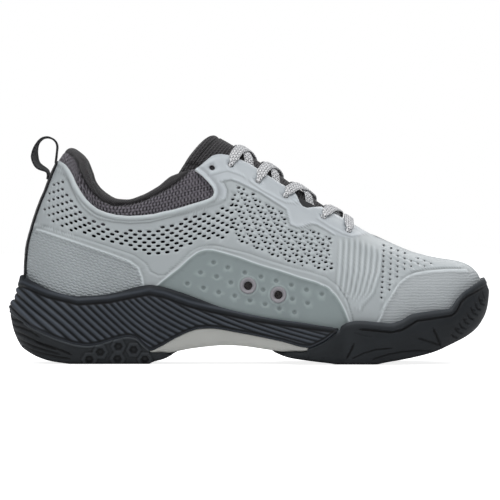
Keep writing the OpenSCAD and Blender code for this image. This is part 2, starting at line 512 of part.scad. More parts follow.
// [rear x, inset, height] of each ring, from the underside up the seen wall, over the lip and
// down inside; an inset under 0 is a gap round the upper, others are from the sole's outline
MID_RINGS = [
  [9, function (x) waist(x, 1.5, 5.2), function (x) min(mid_bottom(x), wall_bottom(x) + .1)],
  [3.4, function (x) waist(x, 1, 3.6), function (x) wall_bottom(x) + .15],
  [.2, function (x) .2, function (x) wall_bottom(x) + .2],
  [1.4, function (x) .9, function (x) mix(wall_bottom(x), sole_top(x), .4) + .2],
  [4, function (x) 1.7, function (x) mix(wall_bottom(x), sole_top(x), .75)],
  [5, function (x) 2.6, function (x) sole_top(x) - 1.2],
  [7, function (x) 3.5, function (x) sole_top(x) - .3],
  [9.2, function (x) -.75, function (x) sole_top(x) - .6],
  [9.6, function (x) -.4, function (x) mix(floor_z(x) - .3, sole_top(x), .5)],
  [10.4, function (x) -.3, function (x) floor_z(x) - .3]];
// past the ball every ring narrows to the upper and hides inside the rubber
function mid_ring(level) =
  let (x_from = MID_RINGS[level][0], inset_at = MID_RINGS[level][1],
       height_at = MID_RINGS[level][2])
  plan_ring(MID_RUNS, x_from, 296.6,
    function (side, x) let (inset = inset_at(x)) mix(
      inset >= 0 ? sole_w(side, x, inset) * round_end((x - x_from) / 38, 2)
        : (upper_w(side, x) - inset) * heel_round(x - x_from),
      (upper_w(side, x) + .25) * toe_round(x, -.25), smoothstep(197, 202.5, x)),
    function (x) mix(height_at(x), mix(mid_bottom(x), floor_z(x) - .3, level / 9),
      smoothstep(202.5, 206.5, x)));
module midsole() color([0.15, 0.16, 0.17]) loft([for (level = [0:9]) mid_ring(level)]);

// ---------- board and insole ----------
// ring inside the lining, at a height over the floor of the upper
function bed_ring(gap, lift) = let (inset = lining_inner + gap)
  plan_ring(SOLE_RUNS, floor_heel_x + inset, toe_x - inset,
    function (side, x) (upper_w(side, x) - inset) * heel_round(x - floor_heel_x - inset)
      * toe_round(x, inset),
    function (x) floor_z(x) + lift);
module strobel_board() color([0.9, 0.9, 0.88]) loft([bed_ring(1, 0), bed_ring(1, 1.2)]);
module insole_foam() color([0.3, 0.3, 0.32])
  loft([bed_ring(1.2, 1.5), bed_ring(.9, 1.5 + insole_t * .6), bed_ring(1.1, 1.5 + insole_t)]);
module insole_cover() color([0.2, 0.2, 0.22])
  loft([bed_ring(1.1, 1.6 + insole_t), bed_ring(1.1, 2.3 + insole_t)]);

placed() outsole_heel();
placed() outsole_forefoot();
placed() shank_plate();
placed() midsole();
placed() strobel_board();
placed() insole_foam();
placed() insole_cover();
placed() upper_shell();
placed() toe_puff();
placed() heel_counter();
placed() eyestay_reinforcement();
placed() mesh_lining();
placed() collar_foam();
placed() collar_lining();
placed() tongue_face();
placed() tongue_foam();
placed() tongue_lining();
placed() lace();
placed() lace_aglets();
placed() vent_grommets();
placed() vent_mesh();
placed() heel_tape();
placed() pull_loop();
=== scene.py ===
"""Looks of a low-cut court shoe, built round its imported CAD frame.

Lengths are in millimetres until a mesh is made: x runs forward from the rearmost point of the
sole, y runs across the shoe with the inner side positive, z runs up from the ground. The frame is
in metres, with its origin ORIGIN_X ahead of the heel. A side of -1 is the outer half, +1 the inner.
"""
import json
import math

import bpy
import bmesh
import numpy as np
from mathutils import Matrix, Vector, kdtree
from mathutils.geometry import delaunay_2d_cdt

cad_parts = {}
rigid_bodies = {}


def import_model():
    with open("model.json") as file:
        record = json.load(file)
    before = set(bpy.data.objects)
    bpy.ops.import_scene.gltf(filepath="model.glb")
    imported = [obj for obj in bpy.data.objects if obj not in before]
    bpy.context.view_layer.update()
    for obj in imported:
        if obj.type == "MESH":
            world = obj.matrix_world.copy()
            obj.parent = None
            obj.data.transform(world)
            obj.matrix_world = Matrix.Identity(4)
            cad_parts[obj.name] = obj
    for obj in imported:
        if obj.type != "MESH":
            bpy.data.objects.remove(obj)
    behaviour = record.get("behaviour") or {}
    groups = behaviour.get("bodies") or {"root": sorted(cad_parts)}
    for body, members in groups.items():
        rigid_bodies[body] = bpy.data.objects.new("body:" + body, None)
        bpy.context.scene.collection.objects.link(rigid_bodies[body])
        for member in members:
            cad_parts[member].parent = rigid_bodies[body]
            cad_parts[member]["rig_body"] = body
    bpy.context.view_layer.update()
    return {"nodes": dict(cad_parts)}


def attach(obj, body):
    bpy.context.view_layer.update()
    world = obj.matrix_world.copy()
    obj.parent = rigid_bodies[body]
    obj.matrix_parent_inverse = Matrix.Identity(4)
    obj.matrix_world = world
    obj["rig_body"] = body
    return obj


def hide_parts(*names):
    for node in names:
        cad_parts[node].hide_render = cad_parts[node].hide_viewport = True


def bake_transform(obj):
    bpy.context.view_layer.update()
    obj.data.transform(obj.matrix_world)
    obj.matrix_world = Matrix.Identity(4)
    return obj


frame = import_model()
ORIGIN_X = 66.0
TAU = 2 * math.pi


# ------------------------------------------------------------------ numbers and curves
def pairs(text):
    """The (a, b) pairs written in a table of numbers."""
    return np.array(text.split(), float).reshape(-1, 2).tolist()


class Curve:
    """Smooth monotone curve through (input, value) pairs, held level past its ends."""

    def __init__(self, text):
        self.x, self.y = np.array(pairs(text)).T
        rise = np.diff(self.y) / np.diff(self.x)
        slope = np.zeros(len(self.x))
        slope[0], slope[-1] = rise[0], rise[-1]
        a, b = rise[:-1], rise[1:]
        same = a * b > 0
        slope[1:-1][same] = 2 * a[same] * b[same] / (a[same] + b[same])
        self.slope = slope

    def __call__(self, q):
        x = np.clip(np.asarray(q, float), self.x[0], self.x[-1])
        i = np.clip(np.searchsorted(self.x, x, side="right") - 1, 0, len(self.x) - 2)
        h = self.x[i + 1] - self.x[i]
        u = (x - self.x[i]) / h
        return ((1 + 2 * u) * (1 - u) ** 2 * self.y[i] + u * (1 - u) ** 2 * h * self.slope[i]
                + u * u * (3 - 2 * u) * self.y[i + 1] + u * u * (u - 1) * h * self.slope[i + 1])


def linear(x, text):
    """Straight-line interpolation through (input, value) pairs."""
    return np.interp(x, *np.array(pairs(text)).T)


def mix(a, b, t):
    return a + (b - a) * t


def smooth(a, b, v):
    """Eased step from 0 at a to 1 at b; a may be the larger."""
    t = np.clip((np.asarray(v, float) - a) / (b - a), 0, 1)
    return t * t * (3 - 2 * t)


def ease(t):
    return (1 - np.cos(math.pi * np.clip(t, 0, 1))) / 2


def bell(v, width):
    return np.exp(-(v / width) ** 2)


def dome(r, radius, power):
    return np.clip(1 - (r / radius) ** 2, 0, 1) ** power


def signed_power(v, power):
    return np.sign(v) * np.abs(v) ** power


def rounded(u, power):
    """Rises from 0 to 1 like a quarter of a superellipse."""
    c = 1 - np.clip(u, 0, 1)
    return np.maximum(0, 1 - c ** power) ** (1 / power)


def unit(a):
    return a / np.maximum(1e-9, np.linalg.norm(a, axis=-1, keepdims=True))


def run_length(p):
    """Distance walked along a polyline, at each of its points."""
    return np.cumsum(np.r_[0, np.linalg.norm(np.diff(p, axis=0), axis=1)])


def relax(p, rounds, keep, pull):
    """Softens a polyline in place, its ends held."""
    for _ in range(rounds):
        p[1:-1] = p[1:-1] * keep + (p[2:] + p[:-2]) * pull


# ------------------------------------------------------------------ master curves of the shoe
# heights by x
base_z = Curve("""0 31  40 30  80 28.5  120 24.5  160 19.5  200 17  230 18  260 22.5  285 29
    300 34""")  # bottom line of the upper
ridge_z = Curve("""0 262  40 240  70 208  95 168  110 153  125 145  140 136.5  155 127.5
    170 117.5  185 107  200 97  215 87.5  225 80.7  240 74  255 68.2  270 65  280 63.4
    287 60.8  292 56.5  295 50.5  296.5 42""")  # top of the upper's sections
wall_z = Curve("""5 55.5  12.5 51.3  19 48  31 43.2  44 40.8  56 41.3  69 43.6  80 46.6  88 47.5
    94 46.9  106 43.8  119 39.4  131 35  144 31.6  163 27.8  182 25.2  197 23  204 22.4
    210 25.6  216 26.6  237 25  244 27  250 30.4  262 32.4  274 33.9  279 40  283 44
    288 47.2  294 51  300 54""")  # top of the sole's side wall
ground_z = Curve("""0 28  2 17.5  6 11.3  12.5 6.9  19 3.8  25 2  32 0.8  44 -0.3  86 -0.3
    91 1.5  97 3.1  101.5 5.2  104.5 6.9  162.5 8.2  166 6.6  175 3.8  188 1.9  200 0.5
    205 -0.2  226 -0.2  235 1.3  245 3  255 5  265 7.7  275 12  285 16.8  291 21  296 27
    299 33  300 38""")  # underside of the sole
split_z = Curve("""0 32.5  6 28.8  12.5 23.8  19 20.6  31 15.6  44 11.9  50 11.3  56 12.2
    69 16  75 16.9  79 16.2  84.5 11.3  89 8.4  94 10.6  106 17.2  113 20.3  119 21.9
    125 22.2  144 19.4  169 14.4  186.5 10.4  191 12  197 15.2  203.5 20.2
    206 21.4""")  # where the midsole meets what lies under it
shank_z = Curve("""88 6.9  97 6.9  104 7.7  113 9.4  125 10.9  134.5 11.6  144 11.3  156 9.8
    163 8.8  172 7.9  181.5 7.9  188 9""")  # underside of the shank
rim_z = Curve("""30 125.5  36 123.2  40 117.6  44 109  51 100  61 94.2  77 91.7  94 93.5
    112.6 98.5  128 103""")  # the shell's edge round the ankle
collar_z = Curve("""31 131  36 134.2  39.5 133.6  44 130.8  48 126.6  51 119  53 113  59 105.7
    67.5 101.7  74 101.4  83 104  93 109.6  101.5 116.3  117 121
    128 123""")  # top of the collar
# x of the heel line by z, and of the sheet's front edge by its share of the height
heel_x = Curve("""20 12  40 10  57 10  70 10.8  84.5 14.2  99.5 19.2  107 22.4  116 25.8
    126 30.2  136 33""")
front_x = Curve("0 296.5  .1 296.5  .2 295  .3 291  .4 283  .52 270  .68 255  .84 241  1 227")
# half widths by x: upper and sole, outer and inner side
upper_outer = Curve("0 34.5  90 35  120 36.5  150 41  180 46.5  205 51  225 53  245 52.5  296 50")
upper_inner = Curve("0 34.5  90 33.5  120 31  150 32  180 38  205 44  225 46  245 46  296 44")
sole_outer = Curve("0 41.5  45 42  90 41  120 41  150 45.5  180 52  205 57  225 59  245 58.5  300 56")
sole_inner = Curve("0 41.5  45 42  90 39  120 35.5  150 36.5  180 43  205 49.5  225 52  245 52  300 50")
middle_y = Curve("0 0  90 0  120 0.5  150 2  180 3  205 4  225 5  296 6")

EYELETS = pairs("126.7 121.7  138.3 123.4  155.2 113.3  172.1 104  195.8 90.9  211.3 82.2")
VENTS = pairs("149 48.5  167.7 42.9")
TOE_X = 296.5
BASE_Z = 31.0  # height at which the base outline starts on the heel line
SECTION_POWER = 2.35  # squareness of the upper's sections
HEEL_ROUND, TOE_ROUND = 35, 75  # lengths over which the plan closes at heel and toe
TOE_POWER = 2.2


def upper_w(side, x):
    return np.where(np.asarray(side) < 0, upper_outer(x), upper_inner(x))


def sole_w(side, x, inset):
    return np.where(np.asarray(side) < 0, sole_outer(x), sole_inner(x)) - inset


def plan_round(x, back, front):
    return rounded((x - back) / HEEL_ROUND, 2) * rounded((front - x) / TOE_ROUND, TOE_POWER)


def half_width(side, x, z, inset=0.0):
    low, top = base_z(x), ridge_z(x) - 1.12 * inset
    h = np.clip((z - low) / np.maximum(0.01, top - low), 0, 1)
    return ((upper_w(side, x) - inset) * plan_round(x, heel_x(z) + inset, TOE_X - inset)
            * np.sqrt(np.maximum(0, 1 - h ** SECTION_POWER)))


def wall_point(side, x, z, inset=0.0):
    """Point of the upper's surface, seen from the side at (x, z)."""
    x, z = np.broadcast_arrays(np.asarray(x, float), np.asarray(z, float))
    return np.stack([x, middle_y(x) + side * half_width(side, x, z, inset), z], -1)


def top_z(x, y):
    """Height of the upper's surface over a plan point."""
    across = y - middle_y(x)
    low, top = base_z(x), ridge_z(x)
    share = np.clip(np.abs(across) / upper_w(across, x), 0, 1)
    return low + (top - low) * np.maximum(0, 1 - share ** 2) ** (1 / SECTION_POWER)


def wall_normal(side, x, z):
    e = 0.3
    along = wall_point(side, x + e, z) - wall_point(side, x - e, z)
    up = wall_point(side, x, z + e) - wall_point(side, x, z - e)
    return side * unit(np.cross(up, along))


# ------------------------------------------------------------------ flat geometry
def from_line(px, pz, line):
    """Distance, sign (left of the line is positive) and run along an open polyline."""
    line = np.asarray(line, float)
    best = np.full(px.shape, 1e9)
    sign = np.zeros(px.shape)
    along = np.zeros(px.shape)
    run = 0.0
    for a, b in zip(line[:-1], line[1:]):
        d = b - a
        length2 = max(d @ d, 1e-9)
        t = np.clip(((px - a[0]) * d[0] + (pz - a[1]) * d[1]) / length2, 0, 1)
        ex, ez = px - a[0] - t * d[0], pz - a[1] - t * d[1]
        r = np.hypot(ex, ez)
        nearer = r < best
        best = np.where(nearer, r, best)
        sign = np.where(nearer, np.sign(d[0] * ez - d[1] * ex), sign)
        along = np.where(nearer, run + t * math.sqrt(length2), along)
        run += math.sqrt(length2)
    return best, sign, along


def gap(px, pz, line):
    return from_line(px, pz, line)[0]


def inside(px, pz, poly):
    poly = np.asarray(poly, float)
    result = np.zeros(px.shape, bool)
    for (xi, zi), (xj, zj) in zip(poly, np.roll(poly, 1, axis=0)):
        if zi != zj:
            result ^= ((zi > pz) != (zj > pz)) & (px < (xj - xi) * (pz - zi) / (zj - zi) + xi)
    return result


def resample(line, step, curved=True):
    """Even points along a polyline, rounded through its corners when curved."""
    p = np.array(line, float)
    if curved and len(p) > 2:
        q = [p[0]]
        for i in range(len(p) - 1):
            p0, p1, p2, p3 = p[max(i - 1, 0)], p[i], p[i + 1], p[min(i + 2, len(p) - 1)]
            for t in np.linspace(0, 1, 7)[1:]:
                q.append(0.5 * (2 * p1 + (p2 - p0) * t + (2 * p0 - 5 * p1 + 4 * p2 - p3) * t * t
                                + (3 * p1 - p0 - 3 * p2 + p3) * t ** 3))
        p = np.array(q)
    s = run_length(p)
    r = np.linspace(0, s[-1], max(2, int(round(s[-1] / step)) + 1))
    return np.stack([np.interp(r, s, p[:, k]) for k in range(p.shape[1])], -1)


# ------------------------------------------------------------------ meshes
def make_mesh(name, verts, faces, mats, replaces, body="shoe", face_mat=None,
              run=None, relief=None):
    """An object from millimetre points.

    run holds one (along, across) pair per vertex in millimetres; relief holds one value of painted light
    per vertex, from -1 (painted shade) to 1 (painted highlight).
    """
    me = bpy.data.meshes.new(name)
    placed = (np.asarray(verts, float) - np.array([ORIGIN_X, 0, 0])) * 0.001
    me.from_pydata(placed.tolist(), [], [list(map(int, f)) for f in faces])
    for m in mats:
        me.materials.append(m)
    if face_mat is not None:
        me.polygons.foreach_set("material_index", np.asarray(face_mat, np.int32))
    me.polygons.foreach_set("use_smooth", np.ones(len(me.polygons), bool))
    if run is not None:
        vectors = np.zeros((len(verts), 3), np.float32)
        vectors[:, :2] = run
        me.attributes.new("run", "FLOAT_VECTOR", "POINT").data.foreach_set("vector", vectors.ravel())
    if relief is not None:
        values = np.asarray(relief, np.float32).ravel()
        me.attributes.new("relief", "FLOAT", "POINT").data.foreach_set("value", values)
    me.update()
    ob = bpy.data.objects.new(name, me)
    bpy.context.scene.collection.objects.link(ob)
    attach(ob, body)
    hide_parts(*replaces)
    return ob


def tidy(ob, merge=0.0, drop_doubled=False):
    """Welds points closer than merge (metres) and turns every face outward.

    drop_doubled removes faces lying back to back, where a ring closed on the centre line.
    """
    bm = bmesh.new()
    bm.from_mesh(ob.data)
    if merge:
        bmesh.ops.remove_doubles(bm, verts=bm.verts, dist=merge)
        bmesh.ops.dissolve_degenerate(bm, edges=bm.edges, dist=1e-6)
    if drop_doubled:
        seen = {}
        for face in bm.faces:
            seen.setdefault(tuple(sorted(v.index for v in face.verts)), []).append(face)
        dead = [face for group in seen.values() if len(group) > 1 for face in group]
        if dead:
            bmesh.ops.delete(bm, geom=dead, context="FACES")
    bmesh.ops.recalc_face_normals(bm, faces=bm.faces)
    bm.to_mesh(ob.data)
    bm.free()
    ob.data.update()


def ring_faces(n, m):
    """Quads between n closed rings of m points."""
    idx = np.arange(n * m).reshape(n, m)
    turned = np.roll(idx, -1, axis=1)
    return np.stack([idx[:-1], turned[:-1], turned[1:], idx[1:]], -1).reshape(-1, 4).tolist()


def tube_caps(n, m):
    return [list(range(m))[::-1], list(range((n - 1) * m, n * m))]


def sheet_faces(n, m):
    """Quads of an open sheet of n rows of m points."""
    idx = np.arange(n * m).reshape(n, m)
    quads = [idx[:-1, :-1], idx[1:, :-1], idx[1:, 1:], idx[:-1, 1:]]
    return np.stack(quads, -1).reshape(-1, 4)


# ------------------------------------------------------------------ materials
def scaled(tone, gain, lift=0.0):
    return tuple(min(1, v * gain + lift) for v in tone)


class Nodes:
    """Short calls for wiring a node tree."""

    def __init__(self, tree):
        self.tree = tree

    def new(self, kind, **settings):
        node = self.tree.nodes.new(kind)
        for key, value in settings.items():
            setattr(node, key, value)
        return node

    def feed(self, value, socket):
        """Links a socket, or sets a plain value; colours may leave out alpha."""
        if isinstance(value, bpy.types.NodeSocket):
            self.tree.links.new(value, socket)
        elif isinstance(value, tuple):
            socket.default_value = (*value, 1)
        else:
            socket.default_value = value

    def math(self, op, *values, clamp=False):
        node = self.new("ShaderNodeMath", operation=op, use_clamp=clamp)
        for value, socket in zip(values, node.inputs):
            self.feed(value, socket)
        return node.outputs[0]

    def add(self, a, b):
        return self.math("ADD", a, b)

    def times(self, a, b, clamp=False):
        return self.math("MULTIPLY", a, b, clamp=clamp)

    def sine(self, a):
        return self.math("SINE", a)

    def fit(self, a, gain, offset):
        return self.add(self.times(a, gain), offset)

    def noise(self, at, scale, detail=2.0, rough=0.5):
        node = self.new("ShaderNodeTexNoise")
        node.inputs["Scale"].default_value = scale
        node.inputs["Detail"].default_value = detail
        node.inputs["Roughness"].default_value = rough
        self.feed(at, node.inputs["Vector"])
        return node.outputs["Fac"]

    def ramp(self, fac, stops):
        """Colour ramp through (position, colour) stops."""
        node = self.new("ShaderNodeValToRGB")
        elements = node.color_ramp.elements
        while len(elements) < len(stops):
            elements.new(0.5)
        for i, (position, colour) in enumerate(stops):
            elements[i].position = position
            elements[i].color = (*colour, 1)
        self.feed(fac, node.inputs[0])
        return node.outputs[0]

    def blend(self, fac, a, b):
        node = self.new("ShaderNodeMix", data_type="RGBA")
        for index, value in ((0, fac), (6, a), (7, b)):
            self.feed(value, node.inputs[index])
        return node.outputs[2]

    def bump(self, height, strength, distance, over=None):
        node = self.new("ShaderNodeBump")
        node.inputs["Strength"].default_value = strength
        node.inputs["Distance"].default_value = distance
        self.feed(height, node.inputs["Height"])
        if over is not None:
            self.feed(over, node.inputs["Normal"])
        return node.outputs[0]

    def place(self):
        """Object position in millimetres."""
        coordinates = self.new("ShaderNodeTexCoord")
        node = self.new("ShaderNodeVectorMath", operation="SCALE")
        node.inputs["Scale"].default_value = 1000.0
        self.feed(coordinates.outputs["Object"], node.inputs[0])
        return node.outputs[0]

    def split(self, vector):
        node = self.new("ShaderNodeSeparateXYZ")
        self.feed(vector, node.inputs[0])
        return node.outputs

    def run(self):
        """The piece's own coordinates: along and across, in millimetres."""
        node = self.new("ShaderNodeAttribute", attribute_name="run")
        return self.split(node.outputs["Vector"])[:2]

    def wear_and_edge_highlight(self, colour, sharpness, amount, worn_and_lit_edge):
        """Mixes a lighter colour in along convex edges: partly wear, partly a painted highlight."""
        edge = self.new("ShaderNodeNewGeometry").outputs["Pointiness"]
        edge = self.times(self.math("SUBTRACT", edge, 0.5), sharpness, clamp=True)
        return self.blend(self.times(edge, amount), colour, worn_and_lit_edge)

    def painted_light_by_relief(self, colour, dark, light):
        """Paints light and shade into the colour by the mesh's relief attribute: painted shade towards -1,
        painted highlight towards 1.
        """
        relief = self.new("ShaderNodeAttribute", attribute_name="relief").outputs["Fac"]
        colour = self.blend(self.times(relief, -1.0, clamp=True), colour, dark)
        return self.blend(self.times(relief, 1.0, clamp=True), colour, light)


def new_material(name):
    """A material, its nodes and a function that feeds an input of its surface shader."""
    mat = bpy.data.materials.new(name)
    mat.use_nodes = True
    nodes = Nodes(mat.node_tree)
    shader = mat.node_tree.nodes["Principled BSDF"]
    return mat, nodes, lambda socket, value: nodes.feed(value, shader.inputs[socket])


def mottle(nodes, at, broad_scale, fine_scale):
    """Fine noise, and its blend with broad noise."""
    broad = nodes.noise(at, scale=broad_scale, detail=3)
    fine = nodes.noise(at, scale=fine_scale, detail=4, rough=0.6)
    return fine, nodes.add(nodes.times(broad, 0.6), nodes.times(fine, 0.4))


def scale_texture(nodes, at):
    """Slanting rows of small scales: phase and grain."""
    x, _, z = nodes.split(at)
    slant = 0.32
    z, x = (nodes.add(z, nodes.times(x, slant)), nodes.math("SUBTRACT", x, nodes.times(z, slant)))
    column = nodes.add(nodes.times(x, TAU / 3.4),
                       nodes.times(nodes.sine(nodes.times(z, 2.0)), 1.0))
    phase = nodes.add(nodes.times(z, TAU / 1.9), nodes.times(nodes.sine(column), 1.1))
    return phase, nodes.noise(at, scale=0.7)


def stripe_texture(nodes, at):
    """Level stripes, bent by two noises: phase."""
    z = nodes.split(at)[2]
    bend = nodes.add(nodes.times(nodes.noise(at, scale=0.12), 7.0),
                     nodes.times(nodes.noise(at, scale=0.5), 5.0))
    return nodes.add(nodes.times(z, TAU / 1.75), bend)


def film(name, tone, rough=0.5, dust=0.12, texture=None, coat=0.0):
    """Moulded film: faint mottling, edges lighter from wear and a painted highlight, painted shade and
    highlight from the relief attribute, and an optional moulded texture.
    """
    mat, nodes, surface = new_material(name)
    at = nodes.place()
    fine, blotch = mottle(nodes, at, broad_scale=0.05, fine_scale=2.2)
    colour = nodes.ramp(blotch, [(0.3, scaled(tone, 1 - dust)), (0.7, scaled(tone, 1 + dust))])
    colour = nodes.wear_and_edge_highlight(colour, sharpness=9.0, amount=0.35, worn_and_lit_edge=scaled(tone, 1.35, 0.03))
    colour = nodes.painted_light_by_relief(colour, dark=scaled(tone, 0.38), light=scaled(tone, 1.5, 0.05))
    surface("Roughness", nodes.add(rough - 0.06, nodes.times(fine, 0.14)))
    surface("Specular IOR Level", 0.42)
    surface("Coat Weight", coat)
    surface("Coat Roughness", 0.35)
    grain = nodes.noise(at, scale=1.6, detail=5, rough=0.65)
    normal = nodes.bump(grain, strength=0.25, distance=0.0002)
    if texture:
        if texture == "scale":
            phase, grain = scale_texture(nodes, at)
            grain_share, strength, distance, shade, dark = 0.5, 0.8, 0.0005, 0.36, 0.62
        else:
            phase, grain = stripe_texture(nodes, at), fine
            grain_share, strength, distance, shade, dark = 0.4, 0.45, 0.0003, 0.24, 0.7
        height = nodes.add(nodes.times(nodes.sine(phase), 0.5), nodes.times(grain, grain_share))
        normal = nodes.bump(height, strength=strength, distance=distance, over=normal)
        crest = nodes.times(nodes.fit(nodes.sine(phase), gain=0.5, offset=0.5), shade)
        colour = nodes.blend(crest, colour, scaled(tone, dark))
    surface("Base Color", colour)
    surface("Normal", normal)
    return mat


def rubber(name, tone, rough, specular=0.25, crest=3.0):
    """Dark rubber or foam, with edges lighter from wear and a painted highlight; crest is how much lighter
    the painted highlight on the relief's crests is.
    """
    mat, nodes, surface = new_material(name)
    at = nodes.place()
    fine, blotch = mottle(nodes, at, broad_scale=0.06, fine_scale=3.0)
    colour = nodes.ramp(blotch, [(0.3, scaled(tone, 0.8)), (0.72, scaled(tone, 1.25))])
    colour = nodes.wear_and_edge_highlight(colour, sharpness=8.0, amount=0.25, worn_and_lit_edge=scaled(tone, 2.2, 0.006))
    colour = nodes.painted_light_by_relief(colour, dark=scaled(tone, 0.12), light=scaled(tone, crest, 0.012))
    surface("Base Color", colour)
    surface("Roughness", nodes.add(rough - 0.08, nodes.times(fine, 0.2)))
    surface("Specular IOR Level", specular)
    grain = nodes.noise(at, scale=2.4, detail=5, rough=0.7)
    surface("Normal", nodes.bump(grain, strength=0.22, distance=0.00022))
    return mat


def knit(name, tone, light, pitch, depth, kind="rib"):
    """Knitted (rib) or woven cloth; pitch is (along, across) in mm, depth in metres."""
    mat, nodes, surface = new_material(name)
    u, v = nodes.run()
    at = nodes.place()
    wobble = nodes.times(nodes.noise(at, scale=0.35, detail=3), 1.4)
    wave_u = nodes.sine(nodes.add(nodes.times(u, TAU / pitch[0]), wobble))
    row = nodes.math("FLOOR", nodes.times(u, 1 / pitch[0]))
    wave_v = nodes.sine(nodes.add(nodes.times(v, TAU / pitch[1]), nodes.times(row, math.pi)))
    if kind == "rib":
        loop = nodes.times(nodes.fit(wave_u, gain=0.5, offset=0.5),
                           nodes.fit(nodes.math("ABSOLUTE", wave_v), gain=0.6, offset=0.4))
    else:
        loop = nodes.fit(nodes.times(wave_u, wave_v), gain=0.5, offset=0.5)
    fuzz = nodes.noise(at, scale=5.0, detail=3, rough=0.7)
    yarn = nodes.add(nodes.times(loop, 0.75), nodes.times(fuzz, 0.3))
    colour = nodes.ramp(yarn, [(0.12, scaled(tone, 0.35)), (0.5, tone), (0.92, light)])
    # painted shade and highlight from the mesh's relief attribute
    colour = nodes.painted_light_by_relief(colour, dark=scaled(tone, 0.12), light=scaled(light, 1.35))
    surface("Base Color", colour)
    surface("Roughness", 0.9)
    surface("Specular IOR Level", 0.2)
    surface("Sheen Weight", 0.25)
    surface("Sheen Roughness", 0.5)
    normal = nodes.bump(yarn, strength=0.9, distance=depth)
    surface("Normal", nodes.bump(fuzz, strength=0.35, distance=0.00025, over=normal))
    return mat


def braid_cord(name, along_pitch=2.7, across_pitch=3.2):
    """Off-white braid with dark flecks in slanting rows."""
    mat, nodes, surface = new_material(name)
    u, v = nodes.run()
    at = nodes.place()
    strands = [nodes.math(op, nodes.times(u, TAU / along_pitch), nodes.times(v, TAU / across_pitch))
               for op in ("ADD", "SUBTRACT")]
    first, second = [nodes.sine(s) for s in strands]
    braid = nodes.fit(nodes.math("MAXIMUM", first, second), gain=0.5, offset=0.5)
    cell = nodes.times(first, second)
    fleck = nodes.math("GREATER_THAN", nodes.times(cell, -1.0), 0.46)
    kept = nodes.math("GREATER_THAN", nodes.noise(at, scale=0.55), 0.34)
    colour = nodes.ramp(braid, [(0.1, (0.42, 0.43, 0.45)), (0.55, (0.78, 0.79, 0.80)),
                                (1.0, (0.88, 0.885, 0.89))])
    surface("Base Color", nodes.blend(nodes.times(fleck, kept), colour, (0.035, 0.035, 0.045)))
    surface("Roughness", 0.8)
    surface("Specular IOR Level", 0.25)
    surface("Sheen Weight", 0.2)
    normal = nodes.bump(braid, strength=0.9, distance=0.0005)
    fuzz = nodes.noise(at, scale=5.0, detail=3, rough=0.7)
    surface("Normal", nodes.bump(fuzz, strength=0.3, distance=0.0002, over=normal))
    return mat


def open_mesh(name, tone):
    """Open knitted mesh: dark, with a small cell."""
    mat, nodes, surface = new_material(name)
    cells = nodes.new("ShaderNodeTexVoronoi", feature="DISTANCE_TO_EDGE")
    cells.inputs["Scale"].default_value = 0.9
    nodes.feed(nodes.place(), cells.inputs["Vector"])
    edge = cells.outputs["Distance"]
    stops = [(0.0, scaled(tone, 2.2)), (0.18, tone), (0.35, scaled(tone, 0.25))]
    surface("Base Color", nodes.ramp(edge, stops))
    surface("Roughness", 0.9)
    surface("Specular IOR Level", 0.15)
    surface("Normal", nodes.bump(edge, strength=0.8, distance=0.0005))
    return mat


looks = {
    "film": film("upper_film", (0.43, 0.468, 0.48), rough=0.46, dust=0.05, coat=0.12),
    "panel": film("upper_panel_smooth", (0.262, 0.31, 0.312), dust=0.06, coat=0.1),
    "heel_scale": film("upper_panel_scale", (0.415, 0.452, 0.468), rough=0.52, dust=0.06,
                       texture="scale"),
    "toe_stripe": film("upper_toe_stripe", (0.455, 0.487, 0.50), dust=0.06, texture="stripe"),
    "stay": film("upper_eyestay", (0.49, 0.53, 0.555), rough=0.42, dust=0.04, coat=0.15),
    "film_edge": film("upper_film_edge", (0.50, 0.52, 0.53), rough=0.6, dust=0.06),
    "midsole": rubber("midsole_foam", (0.0115, 0.0138, 0.0172), rough=0.52, specular=0.2,
                      crest=6.2),
    "outsole": rubber("outsole_rubber", (0.019, 0.022, 0.025), rough=0.58),
    "outsole_front": rubber("outsole_rubber_front", (0.016, 0.019, 0.022), rough=0.58),
    "shank": film("shank_plastic", (0.47, 0.475, 0.45), dust=0.05),
    "mesh": open_mesh("lining_mesh", (0.009, 0.009, 0.010)),
    "board": film("strobel_board", (0.7, 0.69, 0.65), rough=0.85, dust=0.1),
    "stiff": film("stiffener_board", (0.03, 0.03, 0.032), rough=0.85, dust=0.08),
    "foam": film("padding_foam", (0.72, 0.66, 0.46), rough=0.9, dust=0.12),
    "vent": film("vent_rim", (0.30, 0.29, 0.31), rough=0.42, dust=0.06, coat=0.2),
    "vent_weave": open_mesh("vent_weave", (0.05, 0.045, 0.045)),
    "aglet": film("lace_aglet", (0.8, 0.8, 0.8), rough=0.3, dust=0.03, coat=0.4),
    "knit": knit("collar_knit", (0.075, 0.068, 0.08), (0.27, 0.25, 0.285), pitch=(2.1, 1.5),
                 depth=0.0009),
    "roll": knit("collar_lining_knit", (0.036, 0.034, 0.036), (0.11, 0.105, 0.11),
                 pitch=(1.0, 0.9), depth=0.0004, kind="weave"),
    "tongue": knit("tongue_knit", (0.042, 0.039, 0.042), (0.15, 0.145, 0.15), pitch=(1.7, 1.7),
                   depth=0.0008),
    "webbing": knit("webbing", (0.012, 0.012, 0.014), (0.05, 0.05, 0.055), pitch=(1.1, 1.1),
                    depth=0.0004, kind="weave"),
    "insole": knit("insole_cloth", (0.05, 0.05, 0.055), (0.11, 0.11, 0.12), pitch=(1.3, 1.3),
                   depth=0.0004, kind="weave"),
    "lace": braid_cord("lace_cord"),
}

# ------------------------------------------------------------------ the upper's pattern sheet
# each half of the shell is a sheet SHEET_U long (heel to toe) and SHEET_V high (base to top edge)
SHEET_U, SHEET_V = 345.0, 86.0
SHEET_TOP = 126.6  # height of its rear top corner
